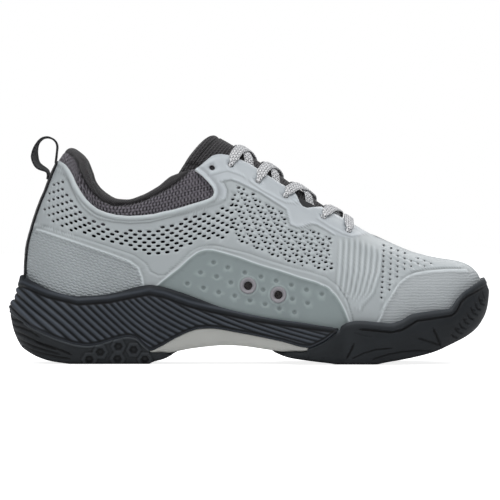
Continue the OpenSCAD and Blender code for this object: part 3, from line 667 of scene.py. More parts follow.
# x and z of the sheet's top edge by share of its length, a little outside the trimmed edge
sheet_top_x = Curve("""0 30.2  .1 38.5  .17 46.9  .25 61.3  .33 77  .4 93.6  .44 104  .465 110
    .49 112  .515 114  .545 119.5  .58 126  .61 133  .66 142  .72 154.5  .78 169.5  .84 185
    .9 201  .95 214  1 227""")
sheet_top_z = Curve("""0 126.6  .1 121.5  .17 105.6  .25 95.2  .33 92.7  .4 94.6  .44 98
    .465 105.5  .49 114.5  .515 121.6  .545 125.3  .58 129.8  .61 131.2  .66 128.7  .72 121.8
    .78 113.2  .84 105  .9 96  .95 88  1 79.85""")
BASE_X = float(heel_x(BASE_Z))
SHEET_BASE = float(base_z(10.0))


def sheet_point(s, v):
    """Side-view place of a sheet point given as shares, blended from the four edges."""
    s, v = np.broadcast_arrays(np.asarray(s, float), np.asarray(v, float))
    low_x = mix(BASE_X, TOE_X, s)
    rear_z = mix(SHEET_BASE, SHEET_TOP, v)
    fore_x = front_x(v)
    fore_z = np.where(v < .1, mix(float(base_z(TOE_X)), 42.0, v * 10), ridge_z(fore_x))
    by_x = (low_x, sheet_top_x(s), heel_x(rear_z), fore_x, BASE_X, TOE_X,
            float(sheet_top_x(0.)), float(sheet_top_x(1.)))
    by_z = (base_z(low_x), sheet_top_z(s), rear_z, fore_z, float(base_z(BASE_X)),
            float(base_z(TOE_X)), float(sheet_top_z(0.)), float(sheet_top_z(1.)))
    return [(1 - v) * low + v * top + (1 - s) * rear + s * fore - (1 - s) * (1 - v) * low_rear
            - s * (1 - v) * low_fore - (1 - s) * v * top_rear - s * v * top_fore
            for low, top, rear, fore, low_rear, low_fore, top_rear, top_fore in (by_x, by_z)]


def uv_to_xz(u, v):
    return sheet_point(ease(u / SHEET_U), v / SHEET_V)


seed_s, seed_v = np.meshgrid(ease(np.linspace(0, 1, 361)), np.linspace(0, 1.0, 121), indexing="ij")
seed_x, seed_z = sheet_point(seed_s, seed_v)
seeds = kdtree.KDTree(seed_x.size)
for i, (x, z) in enumerate(zip(seed_x.ravel(), seed_z.ravel())):
    seeds.insert((float(x), float(z), 0.0), i)
seeds.balance()


def xz_to_uv(x, z):
    """Sheet place of side-view points: nearest seed, then Newton steps."""
    x, z = np.atleast_1d(np.asarray(x, float)), np.atleast_1d(np.asarray(z, float))
    idx = np.array([seeds.find((float(a), float(b), 0.0))[1] for a, b in zip(x, z)])
    s, v = seed_s.ravel()[idx].copy(), seed_v.ravel()[idx].copy()
    e = 1e-4
    for _ in range(6):
        s, v = np.clip(s, 2e-4, 1 - 2e-4), np.clip(v, 2e-4, 1 - 2e-4)
        x0, z0 = sheet_point(s, v)
        xs, zs = sheet_point(s + e, v)
        xv, zv = sheet_point(s, v + e)
        a, b, c, d = (xs - x0) / e, (xv - x0) / e, (zs - z0) / e, (zv - z0) / e
        det = a * d - b * c
        det = np.where(np.abs(det) < 1e-3, 1e-3, det)
        rx, rz = x - x0, z - z0
        s = s + np.clip((d * rx - b * rz) / det, -.05, .05)
        v = v + np.clip((-c * rx + a * rz) / det, -.05, .05)
    s, v = np.clip(s, 0, 1), np.clip(v, 0, 1)
    return np.stack([SHEET_U * np.arccos(1 - 2 * s) / math.pi, SHEET_V * v], -1)


def sheet_surface(u, v, side):
    """Points of the upper's surface, and their side-view x and z."""
    x, z = uv_to_xz(u, v)
    p = wall_point(side, x, z)
    seam = on_seam(u)
    p[seam, 1] = middle_y(x[seam])
    return p, x, z


def on_seam(u):
    """True on the heel and toe lines, where the two halves meet."""
    return (u <= 1e-6) | (u >= SHEET_U - 1e-6)


def sheet_normal(u, v, side):
    e = .15
    u0, u1 = np.clip(u - e, 0, SHEET_U), np.clip(u + e, 0, SHEET_U)
    v0, v1 = np.clip(v - e, 0, SHEET_V), np.clip(v + e, 0, SHEET_V)
    a = sheet_surface(u1, v, side)[0] - sheet_surface(u0, v, side)[0]
    b = sheet_surface(u, v1, side)[0] - sheet_surface(u, v0, side)[0]
    n = unit(np.cross(a, b)) * -side
    n[on_seam(u), 1] = 0
    return unit(n)


# ------------------------------------------------------------------ lines on the upper, as (x, z)
THROAT = [[x, float(top_z(x, middle_y(x) - y))] for x, y in pairs("""226.6 1.6  225.6 3.4
    223.6 5.6  220.5 8  216.5 9.9  211 11.2  205 12.2  199 13.2  194.5 14.6""")]
STAY_EDGE = THROAT + pairs("""188.6 97  185.8 96.5  182.7 97.7  180.7 100.7  179.6 103.9
    177.7 106.5  174.6 108.7  168.9 112  162 116.4  155.2 120.8  150.2 123.9  145.2 126.3
    140.1 128.3  136.4 129.5  132.6 130.1  129.5 129.9  126.4 128.9  123.3 126.4  120.1 123.6
    117.6 121.7  115.7 120.1""")
RIM = pairs("""29.4 126.4  32.5 125.4  35.7 123.3  38.2 120.1  40.7 115.7  42.5 111.4  45 107
    48.2 102.6  51.9 98.9  56.3 95.7  61.3 93.8  67.6 92.3  75.1 91.7  82.6 92  90.7 92.9
    97 94.5  103.2 95.7  109.5 97.6  115.7 99.5  122 101.4  125.1 102.6  127 103.9  127.9 106.4
    127 109.5  123.9 113.2  120.8 116.4  118.6 118.2  115.7 120.1""")
OUTLINE = STAY_EDGE + RIM[::-1][1:]  # from the throat's front end round to the heel

PANEL_BEAD = pairs("""92 47.5  95.7 51  100.1 54.4  106.4 59.4  112.6 65.1  117.6 68.8  122 70.4
    127 70.4  134.5 68.5  143.9 65.7  156.4 61.3  168.9 57.6  181.4 53.5  190.8 50.7  198.3 47.5
    203.3 42.5  206.5 37.5  209 32.5  211.5 25.7""")
HEEL_BEAD = pairs("17.5 82.9  23.8 81.3  43.8 74.7  63.8 67.8  75.7 63.2  80.7 59.4  83.2 53.2  84.2 46.3")
TOE_BEAD = pairs("""229 25  234 36.3  238.4 43.8  242.8 50.1  247.8 53.8  253.4 55.7  262.8 56.9
    275.3 57.6  285.3 57.2""")
BEADS = [(PANEL_BEAD, .75, .55), (HEEL_BEAD, .75, .5), (TOE_BEAD, .8, .5)]  # half width, height

COLLAR_STEP = pairs("""30 120.8  34.4 118.2  37.5 113.9  40 108.2  43.2 102  46.9 97  51.3 93.2
    56.3 90.2  65.7 88.2  75.5 87.3  88.2 88  107.4 92.8  120.1 96.6  132.9 100.5""")
STAY_STEP = pairs("""135.5 102.4  136.1 107.6  133.9 112  132 112.6  134.8 113.9  138.6 114.2
    142.6 112.9  156.4 106.2  168.9 98.2  172.7 95.7  173.9 90.7  175.2 86.3  179.6 84.5
    183.3 85.1  187.7 86.7  191.4 86.3  197.1 83.2  202.1 80.1""")
# line, half width, height on its left side (a negative height lies on its right)
STEPS = [
    (pairs("""16.7 87  28.8 83.2  48.8 77.2  63.8 72.3  78.5 67.3  85.7 62.3  88.5 57.2
        93.5 54.7  98.5 55.2  106.4 62.3  113.2 69.4  118.2 72.2  123.3 73.2  129.5 73.2
        137.6 71.3  150.2 68.2  162.7 63.8  175.2 60.1  187.7 56.9  197.1 53.8  204 48.8
        210.2 39.4  214 25.7"""), .7, -.5),
    (COLLAR_STEP + STAY_STEP, .6, .5),
    (pairs("124.5 117  129.5 118.2  136.1 119.9  141.2 118.2  145.8 116.4"), .5, .25),
    (pairs("150.8 112.6  157.7 107.6  165.8 103.2  172.1 100.1  177.1 99.5  180.2 100.7"), .5, .3),
    (pairs("192.7 89.5  200.2 84.5  207.7 80.7  213.3 78.8  217.7 79.5  222.1 80.7"), .5, .3),
    (pairs("""229 28.2  232.7 34.4  236.5 42.5  240.3 48.8  245.3 53.8  251.5 56.9  259.6 58.8
        269 59.4  281.5 59.4"""), .6, .35),
]


def rib_line(k):
    """One of the raised ribs behind the toe, leaning further back towards the front."""
    x = 205.83885 + 3.50364 * k
    top = 79.144725 - 1.62669 * max(0, k - 3)
    return [(x + .938475 - .0938475 * k, top), (x + .75078, top - 7.5078),
            (x - .312825, 56.93415), (x - 1.564125 - .437955 * k, 44.42115),
            (x - 2.5026 - 1.37643 * k, 35.66205), (x - 3.7539 - 1.37643 * k, 26.2773)]


RIBS = [rib_line(k) for k in range(8)]
RIB_ZONE = pairs("""202.1 81.3  209.6 82.6  220.2 79.5  231.5 75.1  235.2 69.4  235.2 55.1
    230.9 42.5  225.2 25  205.2 25  202.1 39.4  200.8 63.2""")
# areas of their own material
SIDE_PANEL = PANEL_BEAD + pairs("211.5 11.3  87.6 11.3  87.6 44.4")
HEEL_PANEL = [[6.3, 83.8]] + HEEL_BEAD + pairs("85.1 20.6  0 20.6")
TOE_PANEL = TOE_BEAD + pairs("306.6 58.2  306.6 14.4  229 14.4")
STAY_PANEL = STAY_STEP + pairs("""213.3 77.6  226.5 81.3  206.5 114.5  137.6 152  109.5 127
    120.8 116.4  128.3 108.2  127.6 102""")
DIMPLES = pairs("""127.6 63.2  136.4 60.1  147 56.9  157 54.4  166.4 51.9  175.8 49.4  185.2 46.3
    194.6 43.8  119.5 56.9  129.5 54.4  138.3 50.7  158.3 46.3  176.4 40.7  185.8 38.2
    111.4 50.1  121.4 47.5  130.8 44.7  140.8 42.5  150.2 39.7  159.5 37.5  168.3 34.7
    177.7 32.5""")

# areas of small holes: rear quarter, blind strip under it, forefoot side, toe
REAR_HOLES = pairs("""29.4 117  31.9 115.4  35 110.7  38.2 103.9  43.8 97  50.1 90.7  56.3 87.6
    62.6 85.1  71.9 83.2  81.3 82.6  87.6 83.2  97 85.7  106.4 88.8  115.7 91.3  125.1 93.8
    134.5 97  137 100.1  138.3 104.5  139.5 100.1  139.5 83.2  135.1 77  128.3 77.6
    118.9 76.3  112.6 73.8  106.4 70.7  100.1 67.6  93.8 66.3  87.6 67.6  81.3 69.4  75.1 71.3
    68.8 73.2  62.6 75.1  56.3 77  50.1 79.5  43.8 81.3  37.5 83.2  31.3 85.7  25 88.8
    20.6 92.6  23.1 102  26.3 110.7""")
BLIND_HOLES = pairs("""63.8 75.1  68.8 73.2  75.1 71.3  81.3 69.4  87.6 67.6  93.8 66.3
    100.1 67.6  106.4 70.7  108.9 66.9  103.9 61.3  98.9 57.6  93.8 57.2  90.1 59.4  87.6 64.4
    79.5 69.4""")
FORE_HOLES = pairs("""137.6 110.7  142.6 110.7  155.2 103.9  167.7 96.4  171.4 93.8  172.7 88.2
    174.6 83.8  179.6 82  183.9 82.6  188.3 83.8  191.4 83.8  196.5 80.7  201.5 77.6
    201.5 56.9  195.2 57.6  181.4 61.3  168.9 65.7  157.7 69.4  147 73.8  140.8 77
    139.5 83.2""")
TOE_HOLES = pairs("""230.9 75.7  235.2 73.8  240.3 71.3  245.3 69.1  250.3 66.9  259.6 64.4
    269.7 61.6  266.5 59.4  259.6 60.1  250.9 58.8  244.6 56  239.6 51  235.2 43.8  231.5 39.4
    230.2 51.9""")


def row_slope(x):
    """Downward slope of the rear rows of holes."""
    return linear(x, """18.7695 .5  37.539 .48  46.92375 .42  59.43675 .3  71.94975 .18
        87.591 0  103.23225 -.2  118.8735 -.3  138.8943 -.33""")


ROW_STEP = 0.312825
ROW_MIDDLE = 87.591  # x at which the rows run level
row_x = 6.2565 + ROW_STEP * np.arange(480)
row_drop = np.cumsum(row_slope(row_x)) * ROW_STEP
row_drop -= np.interp(ROW_MIDDLE, row_x, row_drop)


def hole_list():
    """Holes as (x, z, half length, half height, tilt, whether it goes through)."""
    def within(x, z, area):
        return bool(inside(np.array([x]), np.array([z]), area)[0])

    holes = []
    # staggered, bending rows over the rear
    pitch, row_pitch = 5.693415, 2.264853
    for k in range(-28, 22):
        for m in range(-26, 26):
            x = ROW_MIDDLE + pitch * m + (k % 2) * pitch / 2
            z = 81.96015 - row_pitch * k - float(np.interp(x, row_x, row_drop))
            through = within(x, z, REAR_HOLES)
            if not (through or within(x, z, BLIND_HOLES)):
                continue
            size = (float(linear(x, "25.026 .72  32.5338 .86  46.92375 1  68.8215 1.06"))
                    * float(linear(x, "115.74525 1  137.643 .86")))
            holes.append((x, z, 1.36 * size, .8 * (size * .4 + .6), -float(row_slope(x)), through))
    # slanting chains of a small, a middling and a large hole over the forefoot
    chain = ((1.50156, 4.567245, .58, .54), (0, 2.75286, .82, .7), (.12513, 0, 1.16, .76))
    for k in range(25):
        foot_x = 120.062235 + 3.8477475 * k
        lean = float(linear(foot_x, """128.25825 .5  147.02775 .43  156.4125 .38
            181.4385 .24  202.08495 .14"""))
        for j in range(-14, 16):
            for dx, dz, half_length, half_height in chain:
                z = 131.01111 - 3.7539 * k - 7.25754 * j + dz
                x = foot_x + lean * (z - 63.19065) + dx
                if x < 139.51995 and z < 98.22705:
                    continue
                if within(x, z, FORE_HOLES):
                    holes.append((x, z, half_length, half_height, 0.22, True))
    # columns over the toe; those of the front one are blind
    columns = (233.680275, 238.37265, 242.7522, 247.13175, 251.198475, 255.578025, 259.64475,
               263.711475, 267.465375)
    for j, column_x in enumerate(columns):
        for i in range(14):
            drop = i * 3.190815 + (0 if j % 2 == 0 else 1.62669)
            x, z = column_x - .07 * drop, 73.20105 - drop
            if within(x, z, TOE_HOLES):
                size = float(linear(column_x, "233.36745 .72  250.26 .62  267.15255 .42"))
                holes.append((x, z, size, size * .95, 0.0, j < len(columns) - 1))
    return holes


def hole_outline(x, z, half_length, half_height, tilt):
    angle = np.linspace(0, TAU, 10 if half_length > .9 else 8, endpoint=False) + .2
    ex = signed_power(np.cos(angle), .8) * half_length
    ez = signed_power(np.sin(angle), .8) * half_height
    c, s = math.cos(math.atan(tilt)), math.sin(math.atan(tilt))
    return np.stack([x + ex * c - ez * s, z + ex * s + ez * c], -1)


def circle_on(x, z, radius, n):
    """A true circle on the surface round a side-view point, as side-view points."""
    e = .2
    along = (wall_point(-1, x + e, z) - wall_point(-1, x - e, z)) / (2 * e)
    up = (wall_point(-1, x, z + e) - wall_point(-1, x, z - e)) / (2 * e)
    w, v = np.linalg.eigh(np.array([[along @ along, along @ up], [along @ up, up @ up]]))
    shape = v @ np.diag(1 / np.sqrt(w)) @ v.T
    a = np.linspace(0, TAU, n, endpoint=False)
    return np.array([x, z]) + (shape @ np.stack([np.cos(a), np.sin(a)])).T * radius


# ------------------------------------------------------------------ moulded relief of the upper, and its painted light and shade
def step_fields(x, z):
    """For each step: distance, distance signed towards its high side, half width, height."""
    for line, width, height in STEPS:
        r, sign, _ = from_line(x, z, line)
        yield r, sign * (1 if height > 0 else -1) * r, width, abs(height)


def rib_fields(x, z):
    """For each rib: distance, and a fade at its ends and inside the side panel."""
    clear_of_bead = np.maximum(gap(x, z, PANEL_BEAD) - 2.2, 0) * 1.4
    outside = ~inside(x, z, SIDE_PANEL)
    for line in RIBS:
        r, _, along = from_line(x, z, line)
        along = np.minimum(along, clear_of_bead) * smooth(31, 37, z)
        yield r, smooth(0, 5, along) * outside


def upper_relief(x, z):
    """Height of the relief over the plain surface, at side-view points."""
    d = np.zeros(x.shape)
    for line, width, height in BEADS:
        d += height * dome(gap(x, z, line), width * 1.6, 2)
    for r, signed, width, height in step_fields(x, z):
        t = np.clip(signed / width, -1, 1)
        d += height * .8 * (0.5 + 0.5 * t) * np.exp(-np.clip(r - width, 0, None) / 1.5)
        d -= height * .3 * bell(signed + width * 1.2, .7 * width)
    for r, fade in rib_fields(x, z):
        d += .75 * dome(r, 1.5, 2) * fade
    r = gap(x, z, RIM)
    d += .5 * smooth(3.1, 2.2, r) * np.clip(.35 + r / 1.2, 0, 1) - .16 * bell(r - 3.3, .45)
    r = gap(x, z, STAY_EDGE)
    d += .3 * smooth(2.3, 1.6, r) * np.clip(.3 + r / 1.0, 0, 1)
    for q in DIMPLES:
        r = np.hypot(x - q[0], z - q[1])
        d += -.65 * dome(r, 1.25, 1) + .22 * bell(r - 1.55, .3)
    for q in VENTS:
        r = np.hypot(x - q[0], z - q[1])
        d += .45 * bell(r - 5.6, .75) * (r > 4)
    return d - .25 * inside(x, z, SIDE_PANEL)


def upper_painted_light(x, z):
    """Painted highlights on the relief's crests and painted shade at its steps and hollows, -1 to 1."""
    t = np.zeros(x.shape)
    for line, _, _ in BEADS:
        r = gap(x, z, line)
        t += .95 * bell(r, .75) - .35 * bell(r - 1.7, .6)
    for _, signed, _, height in step_fields(x, z):
        t += .35 * bell(signed - .8, .5) - .62 * height / .5 * bell(signed + .4, .42)
    for r, fade in rib_fields(x, z):
        t += (.6 * bell(r, .7) - .3 * bell(r - 1.6, .5)) * fade
    r = gap(x, z, RIM)
    t += .55 * smooth(2.6, 1.0, r) - .7 * bell(r - 3.3, .5)
    for q in DIMPLES:
        r = np.hypot(x - q[0], z - q[1])
        low = np.hypot(x - q[0], z - q[1] + .35)
        t += -.62 * bell(r, .85) - .38 * bell(r - 1.25, .3) + .45 * bell(low - 1.7, .35)
    for q in VENTS:
        r = np.hypot(x - q[0], z - q[1])
        t += .5 * bell(r - 5.7, .5) * (r > 4)
    # painted shade: the lower part of the toe darker, as under light from above
    t -= .16 * smooth(62, 22, z) * smooth(225, 250, x)
    return np.clip(t, -1, 1)


# ------------------------------------------------------------------ mesh of the half sheet
class SheetPoints:
    """Sheet points on fixed lines, and loose ones kept apart from them and each other."""

    def __init__(self):
        self.fixed, self.edges, self.loose, self.cells = [], [], [], {}

    def add_line(self, uv, closed=False):
        start, n = len(self.fixed), len(uv)
        self.fixed.extend(tuple(map(float, q)) for q in uv)
        self.edges.extend((start + i, start + i + 1) for i in range(n - 1))
        if closed:
            self.edges.append((start + n - 1, start))

    def add_loose(self, uv):
        self.loose.extend(tuple(map(float, q)) for q in uv)

    def remember(self, q):
        self.cells.setdefault((int(q[0]), int(q[1])), []).append(q)

    def crowded(self, q, reach):
        cu, cv = int(q[0]), int(q[1])
        return any((w[0] - q[0]) ** 2 + (w[1] - q[1]) ** 2 < reach * reach
                   for a in (cu - 1, cu, cu + 1) for b in (cv - 1, cv, cv + 1)
                   for w in self.cells.get((a, b), ()))

    def thin_loose(self, reach):
        """Registers the fixed points, then the loose ones that crowd nobody."""
        for q in self.fixed:
            self.remember(q)
        kept = []
        for q in self.loose:
            if not self.crowded(q, reach):
                kept.append(q)
                self.remember(q)
        self.loose = kept


def sheet_loop():
    """Closed boundary of the half sheet."""
    top = resample(OUTLINE, 1.1, curved=False)
    top_uv = xz_to_uv(top[:, 0], top[:, 1])
    corner = SHEET_V * .9995
    top_uv[0] = (SHEET_U, corner)
    rear_v = top_uv[-1][1]
    top_uv[-1][0] = 0.0
    fore = np.stack([np.full(46, SHEET_U), np.linspace(0, corner, 46)], -1)[1:-1]
    rear = np.stack([np.zeros(44), np.linspace(rear_v, 0, 44)], -1)[1:-1]
    bottom = np.stack([np.linspace(0, SHEET_U, 200), np.zeros(200)], -1)
    return np.concatenate([bottom, fore, top_uv, rear])


def kept_holes():
    """Small holes that stay clear of the raised lines, eyelets and edges."""
    holes = hole_list()
    x, z = np.array([h[0] for h in holes]), np.array([h[1] for h in holes])
    bad = np.zeros(len(holes), bool)
    for line in [b[0] for b in BEADS] + [s[0] for s in STEPS] + RIBS:
        bad |= gap(x, z, line) < 1.75
    for e in EYELETS:
        bad |= np.hypot(x - e[0], z - e[1]) < 4
    for line in (RIM, STAY_EDGE):
        bad |= gap(x, z, line) < 4.2
    return [h for h, b in zip(holes, bad) if not b]


def add_holes(points):
    """Outlines of every opening; returns those to be cut through."""
    small = kept_holes()
    outlines = ([hole_outline(*h[:5]) for h in small]
                + [circle_on(*e, 1.9, 20) for e in EYELETS]
                + [circle_on(*v, 4.75, 32) for v in VENTS])
    flat = np.concatenate(outlines)
    uv = xz_to_uv(flat[:, 0], flat[:, 1])
    openings, start = [], 0
    for k, outline in enumerate(outlines):
        q = uv[start:start + len(outline)]
        start += len(outline)
        points.add_line(q, closed=True)
        if k >= len(small) or small[k][5]:
            openings.append(q)
        else:
            centre = q.mean(0)
            points.add_loose([centre] + [centre + (w - centre) * .55 for w in q[::2]])
    return openings


def offset_lines(line, step, offsets, curved=True):
    """Parallels of a line at signed offsets to its left: offset, points, sheet places."""
    base = resample(line, step, curved)
    tangent = unit(np.gradient(base, axis=0))
    left = np.stack([-tangent[:, 1], tangent[:, 0]], -1)
    for offset in offsets:
        q = base + left * offset
        yield offset, q, xz_to_uv(q[:, 0], q[:, 1])


def add_relief_rows(points, clear):
    """Rows of points that let the mesh follow the relief."""
    for line, width, _ in BEADS:
        offsets = [f * width * 1.6 for f in (0, -1, 1, -.5, .5)]
        for _, _, uv in offset_lines(line, 1.5, offsets):
            ok = clear(uv, .5)
            for run in np.split(np.arange(len(uv)), np.flatnonzero(ok[1:] != ok[:-1]) + 1):
                if ok[run[0]] and len(run) > 1:
                    points.add_line(uv[run])
    for line, width, _ in STEPS:
        offsets = [f * width for f in (-2.6, -1.2, -.4, .4, 1.1, 2.4)]
        for _, _, uv in offset_lines(line, 1.7, offsets):
            points.add_loose(uv[clear(uv, .5)])
    for line, offsets in ((RIM, (-1.0, -2.2, -2.9, -3.3, -3.8)), (STAY_EDGE, (-.8, -1.6, -2.3))):
        for offset, q, uv in offset_lines(line, 1.4, offsets, curved=False):
            near_only = gap(q[:, 0], q[:, 1], line) > -offset * .9
            points.add_loose(uv[clear(uv, .5) & near_only])
    for spots, radii in ((DIMPLES, (0, .6, 1.25, 1.55, 2.0)), (VENTS, (5.2, 5.6, 6.1, 6.8))):
        for spot in spots:
            for r in radii:
                a = np.linspace(0, TAU, 1 if r == 0 else int(max(8, r * 5)), endpoint=False)
                points.add_loose(xz_to_uv(spot[0] + r * np.cos(a), spot[1] + r * np.sin(a)))


ROW_RATIO = .866  # row spacing of an even triangular lattice, by its pitch


def lattice(rows, starts, end, pitch):
    """Staggered rows, given as (index, v); starts are the first u of even and odd rows."""
    parts = []
    for j, v in rows:
        us = np.arange(starts[j % 2], end, pitch)
        parts.append(np.stack([us, np.full(len(us), v)], -1))
    return np.concatenate(parts)


def fill_points(points, clear):
    """An even fill, finer under the ribs."""
    def under_ribs(uv):
        return inside(*uv_to_xz(uv[:, 0], uv[:, 1]), RIB_ZONE)

    pitch = 1.75
    rows = [(j, j * pitch * ROW_RATIO) for j in range(1, int(SHEET_V / (pitch * ROW_RATIO)) + 1)]
    wide = lattice(rows, (pitch, pitch * .5), SHEET_U, pitch)
    wide = wide[clear(wide, .7) & ~under_ribs(wide)]
    pitch = .82
    zone = np.array(RIB_ZONE)
    zone = xz_to_uv(zone[:, 0], zone[:, 1])
    (u0, v0), (u1, v1) = zone.min(0) - 1, zone.max(0) + 1
    rows = enumerate(np.arange(v0, v1, pitch * ROW_RATIO))
    fine = lattice(rows, (u0, u0 + pitch * .5), u1, pitch)
    fine = fine[clear(fine, .45) & under_ribs(fine)]
    return ([tuple(q) for q in wide.tolist() if not points.crowded(q, .95)]
            + [tuple(q) for q in fine.tolist() if not points.crowded(q, .5)])


def triangulate_sheet():
    """Vertices and triangles of the half sheet, its holes left open."""
    points = SheetPoints()
    loop = sheet_loop()
    points.add_line(loop, closed=True)
    closed_loop = np.vstack([loop, loop[:1]])

    def clear(uv, margin):
        """True for points inside the sheet, a margin away from its boundary."""
        return inside(uv[:, 0], uv[:, 1], loop) & (gap(uv[:, 0], uv[:, 1], closed_loop) > margin)

    openings = add_holes(points)
    add_relief_rows(points, clear)
    points.thin_loose(.42)
    places = points.fixed + points.loose + fill_points(points, clear)
    result = delaunay_2d_cdt([Vector(q) for q in places], points.edges, [], 0, 1e-6)
    verts = np.array([tuple(v) for v in result[0]])
    tris = np.array([f for f in result[2] if len(f) == 3])
    cu, cv = verts[tris].mean(1).T
    keep = inside(cu, cv, loop)
    for q in openings:
        low, high = q.min(0), q.max(0)
        near = np.where((cu > low[0]) & (cu < high[0]) & (cv > low[1]) & (cv < high[1]))[0]
        if len(near):
            keep[near[inside(cu[near], cv[near], q)]] = False
    tris = tris[keep]
    a = verts[tris]
    area = np.cross(a[:, 1] - a[:, 0], a[:, 2] - a[:, 0])
    tris, area = tris[np.abs(area) > 1e-5], area[np.abs(area) > 1e-5]
    tris[area < 0] = tris[area < 0][:, ::-1]
    used = np.unique(tris)
    return verts[used], np.searchsorted(used, tris)


def build_shell(thickness=1.15):
    """The film shell: both halves joined at heel and toe, with an inner face."""
    sheet, tris = triangulate_sheet()
    u, v = sheet[:, 0], sheet[:, 1]
    half = len(sheet)
    cu, cv = sheet[tris].mean(1).T
    cx, cz = uv_to_xz(cu, cv)
    area_mat = np.zeros(len(tris), int)
    for index, area in ((4, STAY_PANEL), (1, SIDE_PANEL), (2, HEEL_PANEL), (3, TOE_PANEL)):
        area_mat[inside(cx, cz, area)] = index

    outer, inner, faces, painted_light_values = [], [], [], []
    for side in (-1, 1):
        p, x, z = sheet_surface(u, v, side)
        n = sheet_normal(u, v, side)
        height = upper_relief(x, z) * smooth(0, 2.5, v)
        outer.append(p + n * height[:, None])
        inner.append(p - n * thickness)
        faces.append(tris if side < 0 else tris[:, ::-1] + half)
        # painted light and shade of the relief, per vertex
        painted_light_values.append(upper_painted_light(x, z))
    outer, inner, faces = np.concatenate(outer), np.concatenate(inner), np.concatenate(faces)

    # join the halves along the heel and toe lines
    seam = np.flatnonzero(on_seam(u))
    joined = np.arange(2 * half)
    joined[seam + half] = seam
    for arr in (outer, inner):
        arr[seam] = (arr[seam] + arr[seam + half]) / 2
    faces = joined[faces].tolist()
    edges = dict.fromkeys(e for f in faces for e in ((f[0], f[1]), (f[1], f[2]), (f[2], f[0])))
    n = 2 * half
    walls = [(b, a, a + n, b + n) for a, b in edges if (b, a) not in edges]
    back = [(f[2] + n, f[1] + n, f[0] + n) for f in faces]
    mats = np.concatenate([area_mat, area_mat, np.full(len(back) + len(walls), 5)])
    every = faces + back + walls
    used = np.unique([i for f in every for i in f])
    place = np.full(2 * n, -1)
    place[used] = np.arange(len(used))
    shell = make_mesh(
        "upper_shell_film", np.concatenate([outer, inner])[used],
        [[place[i] for i in f] for f in every],
        [looks[k] for k in ("film", "panel", "heel_scale", "toe_stripe", "stay", "film_edge")],
        ("upper_shell",), face_mat=mats,
        relief=np.concatenate(painted_light_values + [np.zeros(n)])[used])
    # the edge walls meet the faces at a crisp corner
    flags = [True] * (len(faces) + len(back)) + [False] * len(walls)
    shell.data.polygons.foreach_set("use_smooth", np.array(flags))


build_shell()


# ------------------------------------------------------------------ rings shared by the sole's parts
def stations(n, spread=ease):
    """For a ring of 2n points: share of the length, side, and whether on the centre line."""
    i = np.arange(2 * n)
    share = spread(np.where(i <= n, i, 2 * n - i) / n)
    return share, np.where(i <= n, -1.0, 1.0), (i == 0) | (i == n)


def ring_at(ring, x, y, z):
    """Ring points from distances y off the centre line."""
    y[ring[2]] = 0
    return np.stack([x, middle_y(x) + y, z], -1)


def plan_ring(ring, back, front, inset, back_round, front_round, power, height):
    """A ring following the sole's plan, closed over the given lengths at back and front."""
    s, side, _ = ring
    x = mix(back, front, s)
    y = (side * sole_w(side, x, inset) * rounded((x - back) / back_round, 2)
         * rounded((front - x) / front_round, power))
    return ring_at(ring, x, y, height(x))


def shrink(ring, f, height=None):
    """The ring drawn in towards the centre line, at height(x, y) if given."""
    q = ring.copy()
    q[:, 1] = middle_y(ring[:, 0]) + f * (ring[:, 1] - middle_y(ring[:, 0]))
    if height:
        q[:, 2] = height(q[:, 0], q[:, 1])
    return q


def emboss(rings, weight, relief, tone):
    """Pushes rings outward by the relief; weight fades it ring by ring."""
    a = np.roll(rings, -1, axis=1) - np.roll(rings, 1, axis=1)
    b = np.empty_like(rings)
    b[1:-1] = rings[2:] - rings[:-2]
    b[0], b[-1] = rings[1] - rings[0], rings[-1] - rings[-2]
    moved = rings + unit(np.cross(a, b)) * (relief * weight[:, None])[..., None]
    return moved, tone * np.clip(weight * 2, 0, 1)[:, None]


def ring_solid(name, rings, look, replaces, relief=None):
    ob = make_mesh(name, rings.reshape(-1, 3), ring_faces(*rings.shape[:2]), [looks[look]],
                   replaces, relief=relief)
    tidy(ob, merge=2e-6, drop_doubled=True)


def under_z(x):
    return np.maximum(ground_z(x), 0)


# ------------------------------------------------------------------ midsole
# slanting ridges of the midsole wall, by x
def lip_z(x):
    """Lower edge of the lip along the wall's top."""
    return linear(x, """7.5078 47.5494  9.38475 47.5494  25.026 41.2929  43.7955 36.91335
        62.565 38.16465  75.078 40.66725  87.591 43.16985  96.97575 41.2929  112.617 35.66205
        125.13 32.5338  137.643 30.0312  150.156 27.215775  168.9255 24.40035
        187.695 21.89775  202.08495 20.0208""")


def ridge_pitch(x):
    return linear(x, """0 5.50572  43.7955 5.25546  62.565 4.75494  83.21145 4.12929
        118.8735 3.37851  156.4125 2.87799  202.08495 2.62773""")


RIDGE_STEP = 0.62565
ridge_x = -56.3085 + RIDGE_STEP * np.arange(540)
ridge_fall = linear(ridge_x, """6.2565 .9  21.89775 .8  43.7955 .9  75.078 .9  87.591 .75
    100.104 .6  118.8735 .45  150.156 .34  193.9515 .25""")
ridge_middle = lip_z(ridge_x) - linear(ridge_x, """6.2565 10.0104  31.2825 9.38475
    68.8215 12.513  93.8475 9.38475  137.643 5.0052  202.08495 3.7539""")
ridge_turns = (-np.gradient(ridge_middle, RIDGE_STEP) - ridge_fall) * RIDGE_STEP
ridge_phase = np.concatenate([[0], np.cumsum((ridge_turns / ridge_pitch(ridge_x))[1:])])


